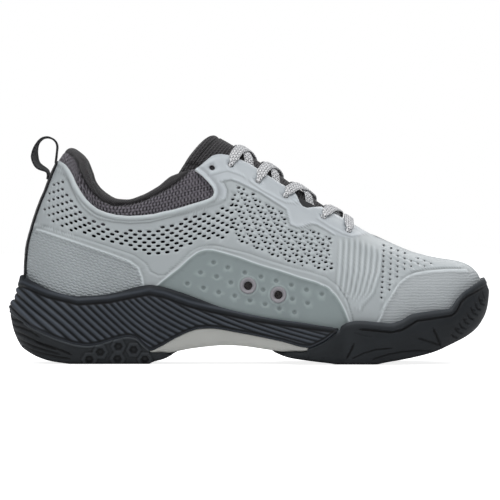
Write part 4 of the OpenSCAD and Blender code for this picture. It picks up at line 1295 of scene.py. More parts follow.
def midsole_relief(x, z):
    below = lip_z(x) - z
    above = z - split_z(x)
    f = (np.interp(x, ridge_x, ridge_middle) - z) / ridge_pitch(x)
    f = f + np.interp(x, ridge_x, ridge_phase)
    f = (f - np.floor(f)) ** .85
    ridge = np.maximum(0, 1 - np.abs(2 * f - 1) ** 2.2) ** .8
    size = linear(x, "6.2565 1.05  87.591 1  125.13 .85  156.4125 .65  202.08495 .5")
    fade = smooth(.12513, 1.62669, below) * smooth(.75078, 2.5026, above)
    lip = 1 - smooth(-1.00104, .563085, below)
    # tone is painted light: highlights on the ridges' crests and along the lip, painted shade in the
    # grooves, under the lip, and a painted highlight and shade near the join below
    tone = (ridge * 1.5 - .95 + .35 * bell(f - .38, .16)) * fade
    tone = tone * linear(x, "87.591 1  156.4125 .8")
    tone = tone * (1 - lip) + lip * (.02 + .5 * bell(below + 2.87799, .813345))
    tone -= .9 * bell(below - .187695, .563085)
    tone += .3 * bell(above - .62565, .50052) - .7 * bell(above - 1.75182, .563085)
    height = size * 1.15 * ridge * fade
    height += .75 * lip + .35 * (1 - smooth(.62565, 2.00208, above))
    height += .12 * bell(below + 1.564125, .75078)
    return height, tone


MIDSOLE_FRONT = 296.6
midsole_back = Curve("32 0  36.3 .6  39.4 2.5  41.3 3.8  46.9 5  52 6.3  56 7.2")  # x by z
midsole_inset = Curve("0 .2  .4 .9  .75 1.7  .93 2.5  1 3.2")  # by share of the wall's height
midsole_ring = stations(400, Curve("""0 0  .02 .00035  .05 .0022  .1 .0085  .16 .023  .24 .055
    .34 .115  .5 .245  .66 .40  .8 .56  .9 .69  .955 .84  .985 .955  1 1"""))


def midsole_floor(x):
    x = np.asarray(x, float)
    heel = np.maximum(np.minimum(under_z(x) + 4.3, split_z(x) - .4), 6.9) + .3
    fore = np.minimum(under_z(x) + 4.7, base_z(x) - .9)
    low = np.where(x > 195, np.minimum(split_z(x), base_z(x) - 2), split_z(x))
    return np.where(x <= 87, heel, np.where(x < 203, low, fore))


def mid_ring(back, width, height, fore_share):
    """A midsole ring; ahead of x = 207 it runs under the upper, inside the toe bumper.

    width(x, side) and height(x) hold for the exposed rear; fore_share is the height of the
    covered part between the midsole's floor and the base of the upper.
    """
    s, side, _ = midsole_ring
    x = mix(back, MIDSOLE_FRONT, s)
    covered = (upper_w(side, x) + .25) * rounded((296.75 - x) / TOE_ROUND, TOE_POWER)
    y = side * mix(width(x, side), covered, smooth(203, 206.5, x))
    hidden = mix(midsole_floor(x), base_z(x) - .3, fore_share)
    return ring_at(midsole_ring, x, y, mix(height(x), hidden, smooth(204.5, 207, x)))


def wall_height(x, t):
    return mix(split_z(x) + .1, wall_z(x), t)


def build_midsole():
    def sole_width(back, inset, waist_inset=None, length=38):
        """Width rule with its own inset between x = 90 and 186 when given."""
        def width(x, side):
            if waist_inset is None:
                d = inset
            else:
                d = np.where((x > 90) & (x < 186), waist_inset, inset)
            return sole_w(side, x, d) * rounded((x - back) / length, 2)
        return width

    floor_ring = mid_ring(9, sole_width(9, 5.2, 1.5, 36),
                          lambda x: np.minimum(midsole_floor(x), split_z(x) + .05), 0)
    rings = [shrink(floor_ring, f) for f in (0.0, .35, .7, .93)] + [floor_ring]
    rings.append(mid_ring(3.4, sole_width(3.4, 3.6, 1.0), lambda x: split_z(x) + .08, 0))
    wall_start = len(rings)
    wall_end_t = .94
    for t in np.linspace(0, wall_end_t, 58):
        back = float(midsole_back(mix(32.5, 55.5, t)))
        rings.append(mid_ring(back, sole_width(back, float(midsole_inset(t))),
                              lambda x: wall_height(x, t), .1 + .6 * t))
    wall_end = len(rings)

    # rounded lip, turning in against the upper
    lip_back = float(midsole_back(mix(32.5, 55.5, wall_end_t)))
    lip_width = sole_width(lip_back, float(midsole_inset(wall_end_t)))
    for a in np.linspace(0, math.pi, 9)[1:]:
        w = (1 - math.cos(a)) / 2

        def width(x, side):
            out = lip_width(x, side)
            upper = half_width(side, x, wall_z(x) - .9) + .12
            return mix(out, np.where(upper < 1, out * .985, upper), w)

        def height(x):
            swell = (wall_z(x) - split_z(x)) * .06 * math.sin(a) + .15 * math.sin(a)
            return mix(wall_height(x, wall_end_t), wall_z(x) - .6, w) + swell
        rings.append(mid_ring(mix(lip_back, 10.15, w), width, height, .75 + .05 * w))
    lip_end = len(rings)

    # hidden inner wall and floor
    def inner_ring(back, spare, share, fore_share):
        return mid_ring(
            back, lambda x, side: (upper_w(side, x) + spare) * rounded((x - back) / HEEL_ROUND, 2),
            lambda x: mix(base_z(x) - .3, wall_z(x) - .6, share), fore_share)
    rings += [inner_ring(10.3, .05, .5, .9), inner_ring(10.3, -.2, .15, .9)]
    rings.append(inner_ring(10.6, -.3, 0, 1))
    rings += [shrink(rings[-1], f) for f in (.93, .7, .35, 0.0)]

    rings = np.array(rings)
    height, tone = midsole_relief(rings[..., 0], rings[..., 2])
    height = height * (1 - smooth(200.5, 203.5, rings[..., 0]))
    weight = np.zeros(len(rings))
    weight[wall_start:wall_end] = 1
    weight[wall_end:lip_end] = np.linspace(.9, 0, lip_end - wall_end)
    weight[wall_start] = .35
    rings, tone = emboss(rings, weight, height, tone)
    rings[:, 0, 1] = 0  # the heel line stays on the centre plane
    ring_solid("midsole_ribbed", rings, "midsole", ("midsole",), tone)


build_midsole()


# ------------------------------------------------------------------ rubber pads
def tread(x, y, edge, pitch=8.6):
    """Depth cut into the underside; edge is the share of the half width, 0 at the middle."""
    root3 = 1.7320508
    across = y - middle_y(x)
    near, far = [np.hypot(x - (np.round(x / pitch - o) + o) * pitch,
                          across - (np.round(across / (pitch * root3) - o) + o) * pitch * root3)
                 for o in (0, .5)]
    centre = np.minimum(near, far)
    cut = 1.6 * smooth(2.6, 1.3, np.maximum(near, far) - centre)
    cut = np.maximum(cut, .6 * smooth(1.9, 1.2, centre))
    from_border = np.abs(edge - .86) * 40
    return (np.where(edge > .86, .0, cut) * smooth(0, 1.2, from_border)
            + 1.2 * smooth(1.5, .8, from_border))


def from_ends(x, z, line, lead):
    """Distance from a groove's line, and run to its nearer end plus a lead."""
    r, _, along = from_line(x, z, line)
    total = run_length(np.array(line))[-1]
    return r, np.minimum(along + lead, total - along + lead)


HEEL_GROOVES = [pairs(t) for t in (
    "1.9 23.8  7.5 22.5  13.8 20  20 16.3", "2.5 20  8.8 17.8  15 15  22.5 11.3  30 8.8",
    "4.4 15.6  10 13.1  16.3 10.6  23.8 8.1  32.5 5.9",
    "8.8 10.6  15 8.1  22.5 5.9  31.3 4.1  38.8 3.1", "16.3 13.8  25 11.3  32.5 8.8  40 5.6",
    "0.6 28.2  5 26.6  9.4 25", "12.5 4.4  18.8 2.5  26.3 1.3")]
HEXAGONS = pairs("57.6 7.5  68.8 10.9  68.2 3.1  78.2 8.8  50.7 2.8  85.1 2.8")


def heel_relief(x, z):
    h = np.zeros(x.shape)
    for line in HEEL_GROOVES:
        r, run = from_ends(x, z, line, .6)
        h -= .85 * dome(r, .75 * np.minimum(1, run / 3.0) + .1, .7)
    for q in HEXAGONS:
        dx, dz = np.abs(x - q[0]), np.abs(z - q[1])
        r = np.maximum(dz, dx * .866 + dz * .5)
        h += .55 * smooth(4.4, 3.7, r) * smooth(2.2, 2.9, r)
        h += -.7 * smooth(2.6, 2.0, r) + .35 * smooth(1.2, .7, r) - .3 * bell(r - 4.9, .4)
    below_top = split_z(x) - z
    # painted shade in the grooves and hollows, a faint painted highlight on raised rims, and a painted
    # highlight along the pad's top edge
    tone = np.clip(h * 1.1, -1, .2) + np.where(x < 88, .75 * smooth(1.6, .7, below_top), 0)
    h += .35 * smooth(1.5, .5, below_top) * (x < 88)
    h -= .25 * bell(below_top - 2.0, .5) * (x < 86)
    return h, tone


def heel_top(x):
    return np.where(x > 88, 6.75, split_z(x) - .2)


def build_heel_pad():
    ring = stations(300)
    back = Curve("0 7  .12 4.4  .3 2  .65 .3  1 0")  # by share of the wall's height
    inset = Curve("0 5  .1 3.2  .3 1.6  .65 .4  1 0")
    base = plan_ring(ring, 7, 103, 5, 34, 12, 3, under_z)
    rings = [shrink(base, f, lambda x, y: under_z(x) + tread(x, y, f) * smooth(0, 6, 103 - x))
             for f in np.linspace(0, 1, 35)[:-1] ** .85]
    wall_start = len(rings)
    for t in np.linspace(0, 1, 34):
        rings.append(plan_ring(ring, float(back(t)), mix(103, 104.5, min(1, t * 3)),
                               float(inset(t)), 34 + 6 * t, 12, 3,
                               lambda x: mix(under_z(x), heel_top(x), t)))
    wall_end = len(rings)
    for a in (.25, .5, .75, 1.0):
        rings.append(plan_ring(ring, 2.6 * a, 104.4, 2.4 * a, 39, 12, 3,
                               lambda x: heel_top(x) + .25 * math.sin(math.pi * a)))
    for d, drop in ((3.2, 1.2), (3.6, 3.0)):
        rings.append(plan_ring(
            ring, d + 1, 104, d, 38, 12, 3,
            lambda x: np.maximum(heel_top(x) - drop, np.minimum(6.4, heel_top(x) - .15))))
    last = rings[-1]
    rings += [shrink(last, f, lambda x, y: np.minimum(under_z(x) + 4.0, heel_top(x) - .3))
              for f in (.8, .5, .25, 0.0)]
    rings = np.array(rings)
    weight = np.zeros(len(rings))
    weight[wall_start + 1:wall_end] = 1
    weight[wall_start + 1], weight[wall_end - 1] = .5, .8
    height, tone = heel_relief(rings[..., 0], rings[..., 2])
    rings, tone = emboss(rings, weight, height * smooth(104.5, 100, rings[..., 0]), tone)
    rings[..., 2] = np.maximum(rings[..., 2], 0)
    ring_solid("outsole_heel_tread", rings, "outsole", ("outsole_heel",), tone)


build_heel_pad()

BUMPER_LINE = pairs("""217.7 21.9  224 21.3  231.5 20.6  237.7 20  244 21.3  250.3 25
    253.4 26.9  262.8 28.2  275.3 30  278.4 32.5  281.5 38.2  284.7 41.3  290.9 44.4
    298.4 48.2  300.9 49.4""")
FORE_GROOVES = [  # line, half width, depth
    (BUMPER_LINE, .85, .9),
    (pairs("214.3 13.1  212.7 8.8  209.6 3.1"), .75, .95),
    (pairs("263.4 22.5  265.6 18.1  268.4 10.6"), .7, .95),
    (pairs("254 16.3  260.9 14.1  268.4 11.3"), .6, .8),
    (pairs("212.7 3.1  220.2 6.9  228.4 9.4  237.7 10"), .55, .8),
    (pairs("225.2 2.8  234.6 5.9  244 7.8  253.4 8.4  262.8 7.8"), .55, .8),
    (pairs("214 20  220.2 18.1  226.5 16.9"), .4, .3)]
# a rising row of short grooves round the toe, with a dash over every second one
for i in range(9):
    x, z = 276.5373 + 2.5026 * i, 16.89255 + 2.87799 * i
    FORE_GROOVES.append(([(x - 1.87695, z + 2.189775 + .312825 * i), (x, z),
                          (x + 2.815425, z - 1.2513)], .55, .8))
    if i % 2 == 0:
        FORE_GROOVES.append(([(x + .62565, z + 5.63085), (x + 3.7539, z + 4.37955)], .5, .7))


def fore_top(x):
    x = np.asarray(x, float)
    low = shank_z(x) - .25
    middle = np.maximum(low, split_z(x) - .25)
    return np.where(x < 186, low, np.where(x < 206, middle, wall_z(x)))


def fore_relief(x, z):
    h = np.zeros(x.shape)
    for line, width, depth in FORE_GROOVES:
        r, run = from_ends(x, z, line, .4)
        h -= depth * dome(r, width * np.clip(run / 2.5, .25, 1), .7) * smooth(299.5, 293, x)
    r, sign, _ = from_line(x, z, BUMPER_LINE)
    bumper = (sign > 0) & (x > 206)
    rear = (x < 206) & (x > 186)
    below_top = fore_top(x) - z
    h += np.where(bumper, .5 * smooth(.6, 1.6, r), 0) * smooth(208, 224, x)
    # painted shade in the grooves, a painted highlight towards the top edge and on the bumper
    tone = np.clip(h * 1.1, -1, 0)
    tone += ((.12 + .5 * smooth(2.2, .8, below_top)) * np.where(bumper, 1, smooth(226, 208, x))
             * smooth(206, 212, x))
    tone += np.where(rear, .6 * smooth(1.6, .6, below_top), 0)
    h += np.where(rear, .3 * smooth(1.6, .6, below_top), 0)
    return h, tone


def fore_cup(x):
    """Height of the pad's inner floor."""
    return np.minimum(np.minimum(fore_top(x) - .9, under_z(x) + 4.0), base_z(x) - 1.5)


def build_fore_pad():
    ring = stations(340)
    # by share of the wall's height
    front = Curve("0 293  .12 296.6  .3 298.9  .62 300  .8 299.3  .9 298.4  1 296.8")
    inset = Curve("0 6  .1 4.0  .3 1.9  .62 .4  .88 .55  1 2")
    back = Curve("0 163  .3 162  .6 161.5  1 163")

    def hug(spare, height, start, inset_rear, end):
        """A ring lying against the upper ahead of x = 210."""
        s, side, _ = ring
        x = mix(start, end, s)
        z = height(x)
        close = half_width(side, x, np.minimum(z, ridge_z(x) - 3)) + spare
        plan = (upper_w(side, x) + spare) * rounded((TOE_X + spare - x) / TOE_ROUND, TOE_POWER)
        rear = sole_w(side, x, inset_rear) * rounded((x - start) / 14, 2)
        y = side * mix(rear, np.minimum(plan, np.maximum(close, 0) + .2), smooth(204, 210, x))
        return ring_at(ring, x, y, z)

    base = plan_ring(ring, 163, 293, 6, 14, 70, 2.2, under_z)
    rings = [shrink(base, f, lambda x, y: under_z(x) + tread(x, y, f) * smooth(0, 8, x - 163))
             for f in np.linspace(0, 1, 45)[:-1] ** .85]
    wall_start = len(rings)
    for t in np.linspace(0, 1, 52):
        rings.append(plan_ring(
            ring, float(back(t)), float(front(t)), float(inset(t)), 14,
            mix(70, 76, min(1, t * 2)), 2.2,
            lambda x: mix(under_z(x), fore_top(x),
                          np.power(t, mix(1.0, 1.9, smooth(272, 298, x))))))
    wall_end = len(rings)
    top = rings[-1]
    inner = hug(.25, lambda x: fore_top(x) - .9, 164, 3.2, 294.9)
    for a in np.linspace(0, math.pi, 8)[1:]:
        q = mix(top, inner, (1 - math.cos(a)) / 2)
        q[:, 2] += .55 * math.sin(a)
        rings.append(q)
    rings.append(hug(.5, lambda x: mix(fore_top(x) - .9, fore_cup(x), .5), 164.5, 3.8, 297))
    last = hug(.5, fore_cup, 165, 4.4, 297)
    rings.append(last)
    rings += [shrink(last, f, lambda x, y: fore_cup(x)) for f in (.8, .5, .25, 0.0)]
    rings = np.array(rings)
    weight = np.zeros(len(rings))
    weight[wall_start + 1:wall_end] = 1
    weight[wall_start + 1] = .5
    weight[wall_end:wall_end + 4] = [.9, .7, .4, .15]
    height, tone = fore_relief(rings[..., 0], rings[..., 2])
    rings, tone = emboss(rings, weight, height * smooth(162, 168, rings[..., 0]), tone)
    rings[..., 2] = np.maximum(rings[..., 2], 0)
    ring_solid("outsole_forefoot_tread", rings, "outsole_front",
               ("outsole_forefoot",), tone)


build_fore_pad()


def shank_top(x):
    top = np.maximum(shank_z(x) + .35, split_z(x) - .12)
    return np.where(x < 89.5, np.minimum(8.3, top), top)


def build_shank():
    """Bridge under the waist, with two long channels in its underside."""
    def underside(x, y):
        channel = np.maximum(0, 1 - np.abs((np.abs(y - middle_y(x)) - 11) / 4.5))
        return shank_z(x) + 1.2 * smooth(.0, 1, channel) * smooth(96, 106, x) * smooth(182, 172, x)

    ring = stations(110)
    inset = Curve("0 3.2  .06 2.3  .16 1.5  .35 .9  .7 .6  1 .62")
    base = plan_ring(ring, 83.5, 189, 3.2, 6, 5, 2.5, shank_z)
    rings = [shrink(base, f, underside) for f in np.linspace(0, 1, 15)[:-1]]
    for t in np.linspace(0, 1, 22):
        rings.append(plan_ring(ring, mix(83.5, 82.8, t), 189.8, float(inset(t)), 6, 5, 2.5,
                               lambda x: mix(shank_z(x), shank_top(x), t)))
    last = rings[-1]
    rings += [shrink(last, f, lambda x, y: shank_top(x)) for f in (.97, .8, .4, 0.0)]
    ring_solid("shank_bridge", np.array(rings), "shank", ("shank_plate",))


build_shank()

# ------------------------------------------------------------------ padded collar
COLLAR_SEAM = pairs("""25 132.6  29.4 132.3  34.4 132  37.5 130.8  40.7 128.3  43.2 124.5
    44.7 119.5  46.9 114.5  50.1 108.9  54.4 104.5  59.4 100.7  65.7 98.7  75.1 99.1
    81.3 100.5  87.6 103  93.8 106  100.1 109.4  104.5 112.3  109.5 117  115.7 123.3
    122 128.3""")
COLLAR_FRONT = 131.0


def build_collar():
    """One roll from eyestay to eyestay: outer leaf, rounded top and inner leaf."""
    half = 330
    q = np.linspace(-1, 1, 2 * half + 1)
    reach = np.abs(q)
    sweep = 1 - np.cos(np.radians(90 * reach))
    x0 = mix(33, COLLAR_FRONT, sweep)
    padding = mix(mix(10.5, 8.0, smooth(.1, .5, reach)), 4.4, smooth(.6, .95, reach))
    radius = padding / 2
    fade = 1 - smooth(.8, .93, reach)
    outer_depth = 2.0 + .8 * smooth(.8, .93, reach)
    core = outer_depth + radius
    top, rim = collar_z(x0), rim_z(x0)
    low = rim - 9
    span = np.maximum(top - radius - rim + 3, 1)
    Z, depth, outer = [], [], []
    for w in np.linspace(0, 1, 34):
        z = mix(low, top - radius, w)
        bulge = np.sin(math.pi * np.clip((z - rim + .5) / span, 0, 1))
        Z.append(z)
        depth.append(outer_depth - bulge * np.minimum(1.5, span * .18) * fade)
        outer.append(True)
    for a in np.linspace(math.pi, 0, 18)[1:]:
        Z.append(top - radius + radius * math.sin(a))
        depth.append(core + radius * math.cos(a))
        outer.append(a > 1.75)
    for w in np.linspace(1, 0, 22)[1:]:
        Z.append(mix(low - 7, top - radius, w))
        depth.append(mix(4.4, core + radius, math.sqrt(w)) + .8 * np.sin(math.pi * w))
        outer.append(False)
    Z, depth = np.array(Z).T, np.array(depth).T
    outer = np.array(outer)[None, :] & np.ones(Z.shape, bool)
    X = mix(heel_x(Z) + depth, COLLAR_FRONT, sweep[:, None])
    # the top follows the silhouette of the place it reaches, not only of the heel line
    follow = smooth((top - 22)[:, None], (top - 3)[:, None], Z) * (X < 128)
    Z = Z + (collar_z(X) - top[:, None]) * follow
    side = np.where(q < 0, -1.0, 1.0)[:, None]
    Y = middle_y(X) + side * half_width(side, X, Z, depth)
    Y[half] = 0
    p = np.stack([X, Y, Z], -1)

    r, sign, _ = from_line(p[..., 0], p[..., 2], COLLAR_SEAM)
    above = (sign > 0) | ~outer
    crease = np.where(outer, bell(r, .85), 0)
    puff = np.where(outer, .7 * smooth(0, 3.5, r), .7)
    u = run_length(p[:, 10])[:, None] * np.ones((1, Z.shape[1]))
    steps = np.linalg.norm(np.diff(p, axis=1), axis=2)
    v = np.cumsum(np.concatenate([np.zeros((len(q), 1)), steps], 1), 1)
    row = np.floor(v / 1.9)
    loop = (np.abs(np.sin(math.pi * (u / 2.5 + .5 * (row % 2)))) ** .6
            * (.35 + .65 * np.abs(np.sin(math.pi * v / 1.9)) ** .7))
    fine = np.abs(np.sin(math.pi * u / 1.25)) * (.5 + .5 * np.abs(np.sin(math.pi * v / 1.25)))
    height = np.where(above, .14 * fine, .42 * loop) - 1.2 * crease + .5 * puff
    # soft unevenness of the padding
    height += .25 * np.sin(u / 17.0 + 1.3 * np.sin(v / 9.0)) * np.sin(v / 6.5)
    height *= smooth(0, 5, v) * mix(.35, 1, fade)[:, None]
    a = np.roll(p, -1, axis=0) - np.roll(p, 1, axis=0)
    a[0], a[-1] = p[1] - p[0], p[-1] - p[-2]
    b = np.empty_like(p)
    b[:, 1:-1] = p[:, 2:] - p[:, :-2]
    b[:, 0], b[:, -1] = p[:, 1] - p[:, 0], p[:, -1] - p[:, -2]
    normal = unit(np.cross(b, a))
    # on the outer side the leaf's normal has to point to negative y
    if normal[half // 2, 8][1] > 0:
        normal = -normal
    p = p + normal * height[..., None]
    p[half, :, 1] = 0
    size = p.shape[:2]
    faces = ring_faces(*size)
    upper_part = above.reshape(-1)
    mats = [1 if upper_part[f[0]] and upper_part[f[2]] else 0 for f in faces] + [1, 1]
    # painted light: lighter on the knit's loops, painted shade between them and in the crease along the
    # seam
    tone = np.where(above, .35 * fine - .2, 1.5 * loop - .8) - 1.0 * crease
    tidy(make_mesh("collar_padded", p.reshape(-1, 3), faces + tube_caps(*size),
                   [looks["knit"], looks["roll"]], ("collar_lining", "collar_foam"),
                   face_mat=mats, run=np.stack([u.ravel(), v.ravel()], -1),
                   relief=tone))


build_collar()

# ------------------------------------------------------------------ tongue
tongue_half = Curve("112 23  126 19.3  140 15.6  155 16  170 16  190 14  205 8.5  226 3")
tongue_angle = Curve("100 50  108 47  118 43  130 40  160 35  200 26  226 18")


def build_tongue():
    """Padded sheet following the upper's top, from x = 125.5 at its top end to 220."""
    rows, columns = 230, 120
    r = np.linspace(0, 1, rows)[:, None]
    c = np.linspace(-1, 1, columns)[None, :]
    off = np.abs(c)
    side = np.where(c < 0, -1.0, 1.0)
    x = mix(125.5, 220, r) - 25 * (1 - r) ** 1.6 * off ** 1.7
    a = np.radians(90 - off * tongue_angle(x))
    width = upper_w(side, x)
    y = (width - 4) * np.cos(a)
    half = tongue_half(x)
    sink = mix(1.35, mix(6.9, 4.9, smooth(124, 144, x)), smooth(.25 * half, 1.05 * half, y))
    sink = sink + 2.6 * smooth(196, 209, x) + 1.6 * smooth(.7, 1, off) * smooth(122, 110, x)
    thick = (mix(7.6, 3.2, smooth(.08, .7, r)) * (1 - .25 * off ** 3)
             * (1 - .45 * smooth(196, 209, x)))

    def edge(past):
        return np.sqrt(np.maximum(0, 1 - np.clip(past, 0, 1) ** 2))
    fullness = edge((off - .9) / .1) * (edge((.035 - r) / .035) * edge((r - .975) / .025))
    depth = sink + thick / 2
    u = r * 112 * np.ones_like(c)
    v = c * 34 * np.ones_like(r)
    row = np.floor(u / 1.7)
    loop = (np.abs(np.sin(math.pi * (v / 1.9 + .5 * (row % 2)))) ** .7
            * (.4 + .6 * np.abs(np.sin(math.pi * u / 1.7))))
    seam = bell(off - .8, .012) + bell(r - .055, .006) * (off < .8)
    lift = .16 * loop - .55 * seam
    lift = lift + .3 * np.sin(u / 9.0) * np.cos(v / 8.0) * (1 - smooth(.1, .3, r))

    def layer(inset):
        low = base_z(x)
        top = ridge_z(x) - 1.19 * inset
        z = low + (top - low) * np.power(np.maximum(np.sin(a), 1e-6), 2 / SECTION_POWER)
        y = middle_y(x) + side * (width - inset) * np.cos(a)
        return np.stack([x, y, z], -1).reshape(-1, 3)
    outer = layer(depth - (thick / 2 + lift) * fullness)
    inner = layer(depth + (thick / 2) * fullness)
    front = sheet_faces(rows, columns)
    back = front[:, ::-1] + rows * columns
    run = np.concatenate([np.stack([u.ravel(), v.ravel()], -1)] * 2)
    # painted light: lighter on the loops, painted shade between them and in the seams
    tone = np.concatenate([(.8 * loop - .45 - seam).ravel(), np.zeros(rows * columns)])
    tidy(make_mesh("tongue_padded", np.concatenate([outer, inner]),
                   front.tolist() + back.tolist(), [looks["tongue"], looks["roll"]],
                   ("tongue_face", "tongue_foam", "tongue_lining"),
                   body="tongue", face_mat=[0] * len(front) + [1] * len(back), run=run,
                   relief=tone), merge=3e-6)


build_tongue()


# ------------------------------------------------------------------ sheets behind the shell
def sheet_solid(name, span, columns, low, high, rows, depths, look, replaces, wrap):
    """A closed sheet between two depths on both sides of the shoe.

    span is its share of the shell's length, low and high its shares of the height; with wrap
    the two sides join at heel and toe.
    """
    start, end = [math.acos(1 - 2 * s) / math.pi * SHEET_U for s in span]
    u = np.linspace(start, end, columns)[:, None] * np.ones((1, rows))
    s = ease(u / SHEET_U)
    v = (low(s) + (high(s) - low(s)) * np.linspace(0, 1, rows)[None, :]) * SHEET_V
    verts, faces, count = [], [], columns * rows
    for k, side in enumerate((-1, 1)):
        p = sheet_surface(u.ravel(), v.ravel(), side)[0]
        n = sheet_normal(u.ravel(), v.ravel(), side)
        for depth in depths:
            q = p - n * depth
            top = top_z(q[:, 0], q[:, 1]) - depth
            q[:, 2] = np.where(q[:, 0] > 150, np.minimum(q[:, 2], top), q[:, 2])
            verts.append(q)
        start = 2 * count * k
        idx = np.arange(count).reshape(columns, rows) + start
        quads = sheet_faces(columns, rows) + start
        faces += quads.tolist() + (quads[:, ::-1] + count).tolist()
        borders = [idx[:, 0], idx[:, -1][::-1]] + ([] if wrap else [idx[0][::-1], idx[-1]])
        for line in borders:
            faces += [[b, a, a + count, b + count] for a, b in zip(line[:-1], line[1:])]
    tidy(make_mesh(name, np.concatenate(verts), faces, [looks[look]], replaces), merge=2e-5)


sheet_solid("lining_mesh_sheet", span=(0, 1), columns=260, low=lambda s: 0 * s,
            high=lambda s: mix(.78, .93, smooth(.645, .7, s)), rows=60, depths=(2.1, 2.9),
            look="mesh", replaces=("mesh_lining",), wrap=True)
sheet_solid("eyestay_backing", span=(.55, .93), columns=120, low=lambda s: .84 + 0 * s,
            high=lambda s: .935 + 0 * s, rows=12, depths=(1.3, 1.8), look="stiff",
            replaces=("eyestay_reinforcement",), wrap=False)


# ------------------------------------------------------------------ footbed cover
def build_insole():
    ring = stations(150)
    s, side, _ = ring

    def insole_ring(inset, f, height):
        x = mix(BASE_X + inset, TOE_X - inset, s)
        y = (side * (upper_w(side, x) - inset)
             * plan_round(x, BASE_X + inset, TOE_X - inset) * f)
        return ring_at(ring, x, y, base_z(x) + height(x, f))

    def top(x, f):
        return (6.0 + 1.0 * f ** 6 * smooth(120, 60, x) + .8 * f ** 4
                - .5 * (1 - f ** 2) * smooth(90, 40, x))
    rings = [insole_ring(5.0, f, top) for f in np.linspace(0, 1, 26)]
    rings.append(insole_ring(4.75, 1, lambda x, f: top(x, 1) - .35))
    rings.append(insole_ring(4.8, 1, lambda x, f: top(x, 1) - .75))
    rings += [insole_ring(5.1, f, lambda x, f: 5.25) for f in np.linspace(1, 0, 8)]
    rings = np.array(rings)
    verts = rings.reshape(-1, 3)
    tidy(make_mesh("insole_cover_sheet", verts, ring_faces(*rings.shape[:2]), [looks["insole"]],
                   ("insole_cover",), body="insole", run=verts[:, :2]),
         merge=3e-6)


build_insole()


# ------------------------------------------------------------------ lace
def top_normal(x, y):
    e = .4
    along = np.array([2 * e, 0, float(top_z(x + e, y) - top_z(x - e, y))])
    across = np.array([0, 2 * e, float(top_z(x, y + e) - top_z(x, y - e))])
    return unit(np.cross(along, across))


def over_top(x, y, lift):
    return np.array([x, y, float(top_z(x, y))]) + lift * top_normal(x, y)


def eyelet(side, i, lift):
    x, z = EYELETS[i]
    return wall_point(side, x, z) + lift * wall_normal(side, x, z)


def out_of_eyelet(side, i):
    return [eyelet(side, i, lift) for lift in (-3.4, -1.2, .9)]


def crossing(side, i):
    """From eyelet i over the tongue and under the next eyelet of the other side."""
    a, b = eyelet(side, i, 0), eyelet(-side, i + 1, 0)
    height = 1.45 if side < 0 else -.1  # strands from the outer side lie on top
    points = out_of_eyelet(side, i)
    for w in (.07, .14, .24, .36, .5, .62, .7, .77, .84, .9):
        x, y = mix(a[0], b[0], w), mix(a[1], b[1], w)
        if w < .5:
            lift = mix(1.25, height, float(smooth(.18, .45, w)))
        else:
            edge = float(tongue_half(x))
            off = abs(y - float(middle_y(x)))
            lift = mix(height, -3.3, float(smooth(.5 * edge, .9 * edge, off)))
        points.append(over_top(x, y, lift + .25 * math.sin(math.pi * min(1, w / .62))))
    return points


def half_lace(side):
    """From the tail end through four crossings to the front eyelet."""
    tail = ((143.8, 95, 6.6), (142.6, 101, 5.8), (141.3, 108, 4.95), (139.8, 115.5, 4.6))
    points = [wall_point(side, x, z, inset) for x, z, inset in tail]
    for i, turn in ((1, 1), (2, -1), (3, 1), (4, -1)):
        points += crossing(side * turn, i)
    return points + out_of_eyelet(side, 5)


def build_lace():
    a, b = eyelet(-1, 5, 0), eyelet(1, 5, 0)
    bar = [over_top(mix(a[0], b[0], w), mix(a[1], b[1], w), 1.5) for w in (.1, .25, .5, .75, .9)]
    p = resample(np.array(half_lace(-1) + bar + half_lace(1)[::-1]), .75)
    relax(p, rounds=3, keep=.5, pull=.25)
    tangent = unit(np.gradient(p, axis=0))
    holes = np.array([eyelet(side, e, lift) for side in (-1, 1) for e in range(1, 6)
                      for lift in (-3.4, -1.2, .6)])
    near = np.min(np.linalg.norm(p[:, None] - holes[None], axis=2), axis=1)
    # the flat side turns gradually to lie on the surface
    across = np.zeros_like(p)
    current = np.array([.86, 0, -.5])
    for i in range(len(p)):
        want = np.cross(top_normal(p[i, 0], p[i, 1]), tangent[i])
        pull = .25 * min(1.0, np.linalg.norm(want)) ** 2
        want = unit(want)
        if want @ current < 0:
            want = -want
        current = unit(current - (current @ tangent[i]) * tangent[i])
        current = current * (1 - pull) + want * pull
        current = unit(current - (current @ tangent[i]) * tangent[i])
        across[i] = current
    normal = np.cross(tangent, across)
    s = run_length(p)
    half = mix(1.55, 3.25, smooth(1.0, 6.5, near)) * (1 + .02 * np.sin(TAU * s / 1.6))
    thick = mix(1.1, .72, smooth(1.0, 5.0, near))
    m = 26
    angle = np.linspace(0, TAU, m, endpoint=False)
    weave = .05 * np.sin(TAU * (s[:, None] / 1.3 + angle[None] * .8 / math.pi * 2))
    wide = half[:, None] * signed_power(np.cos(angle), .8)[None]
    high = (thick[:, None] + weave) * signed_power(np.sin(angle), .75)[None]
    verts = p[:, None] + across[:, None] * wide[..., None] + normal[:, None] * high[..., None]
    run = np.stack([(s[:, None] * np.ones((1, m))).ravel(), wide.ravel()], -1)
    tidy(make_mesh("lace_flat", verts.reshape(-1, 3), ring_faces(len(p), m) + tube_caps(len(p), m),
                   [looks["lace"]], ("lace",), run=run))


build_lace()


# ------------------------------------------------------------------ vents
def vent_frames():
    """Centre, surface normal and two axes in the surface, for each vent on both sides."""
    for side in (-1, 1):
        for x, z in VENTS:
            normal = wall_normal(side, x, z)
            first = unit(np.cross([0, 0, 1.0], normal))
            yield wall_point(side, x, z), normal, first, np.cross(normal, first)


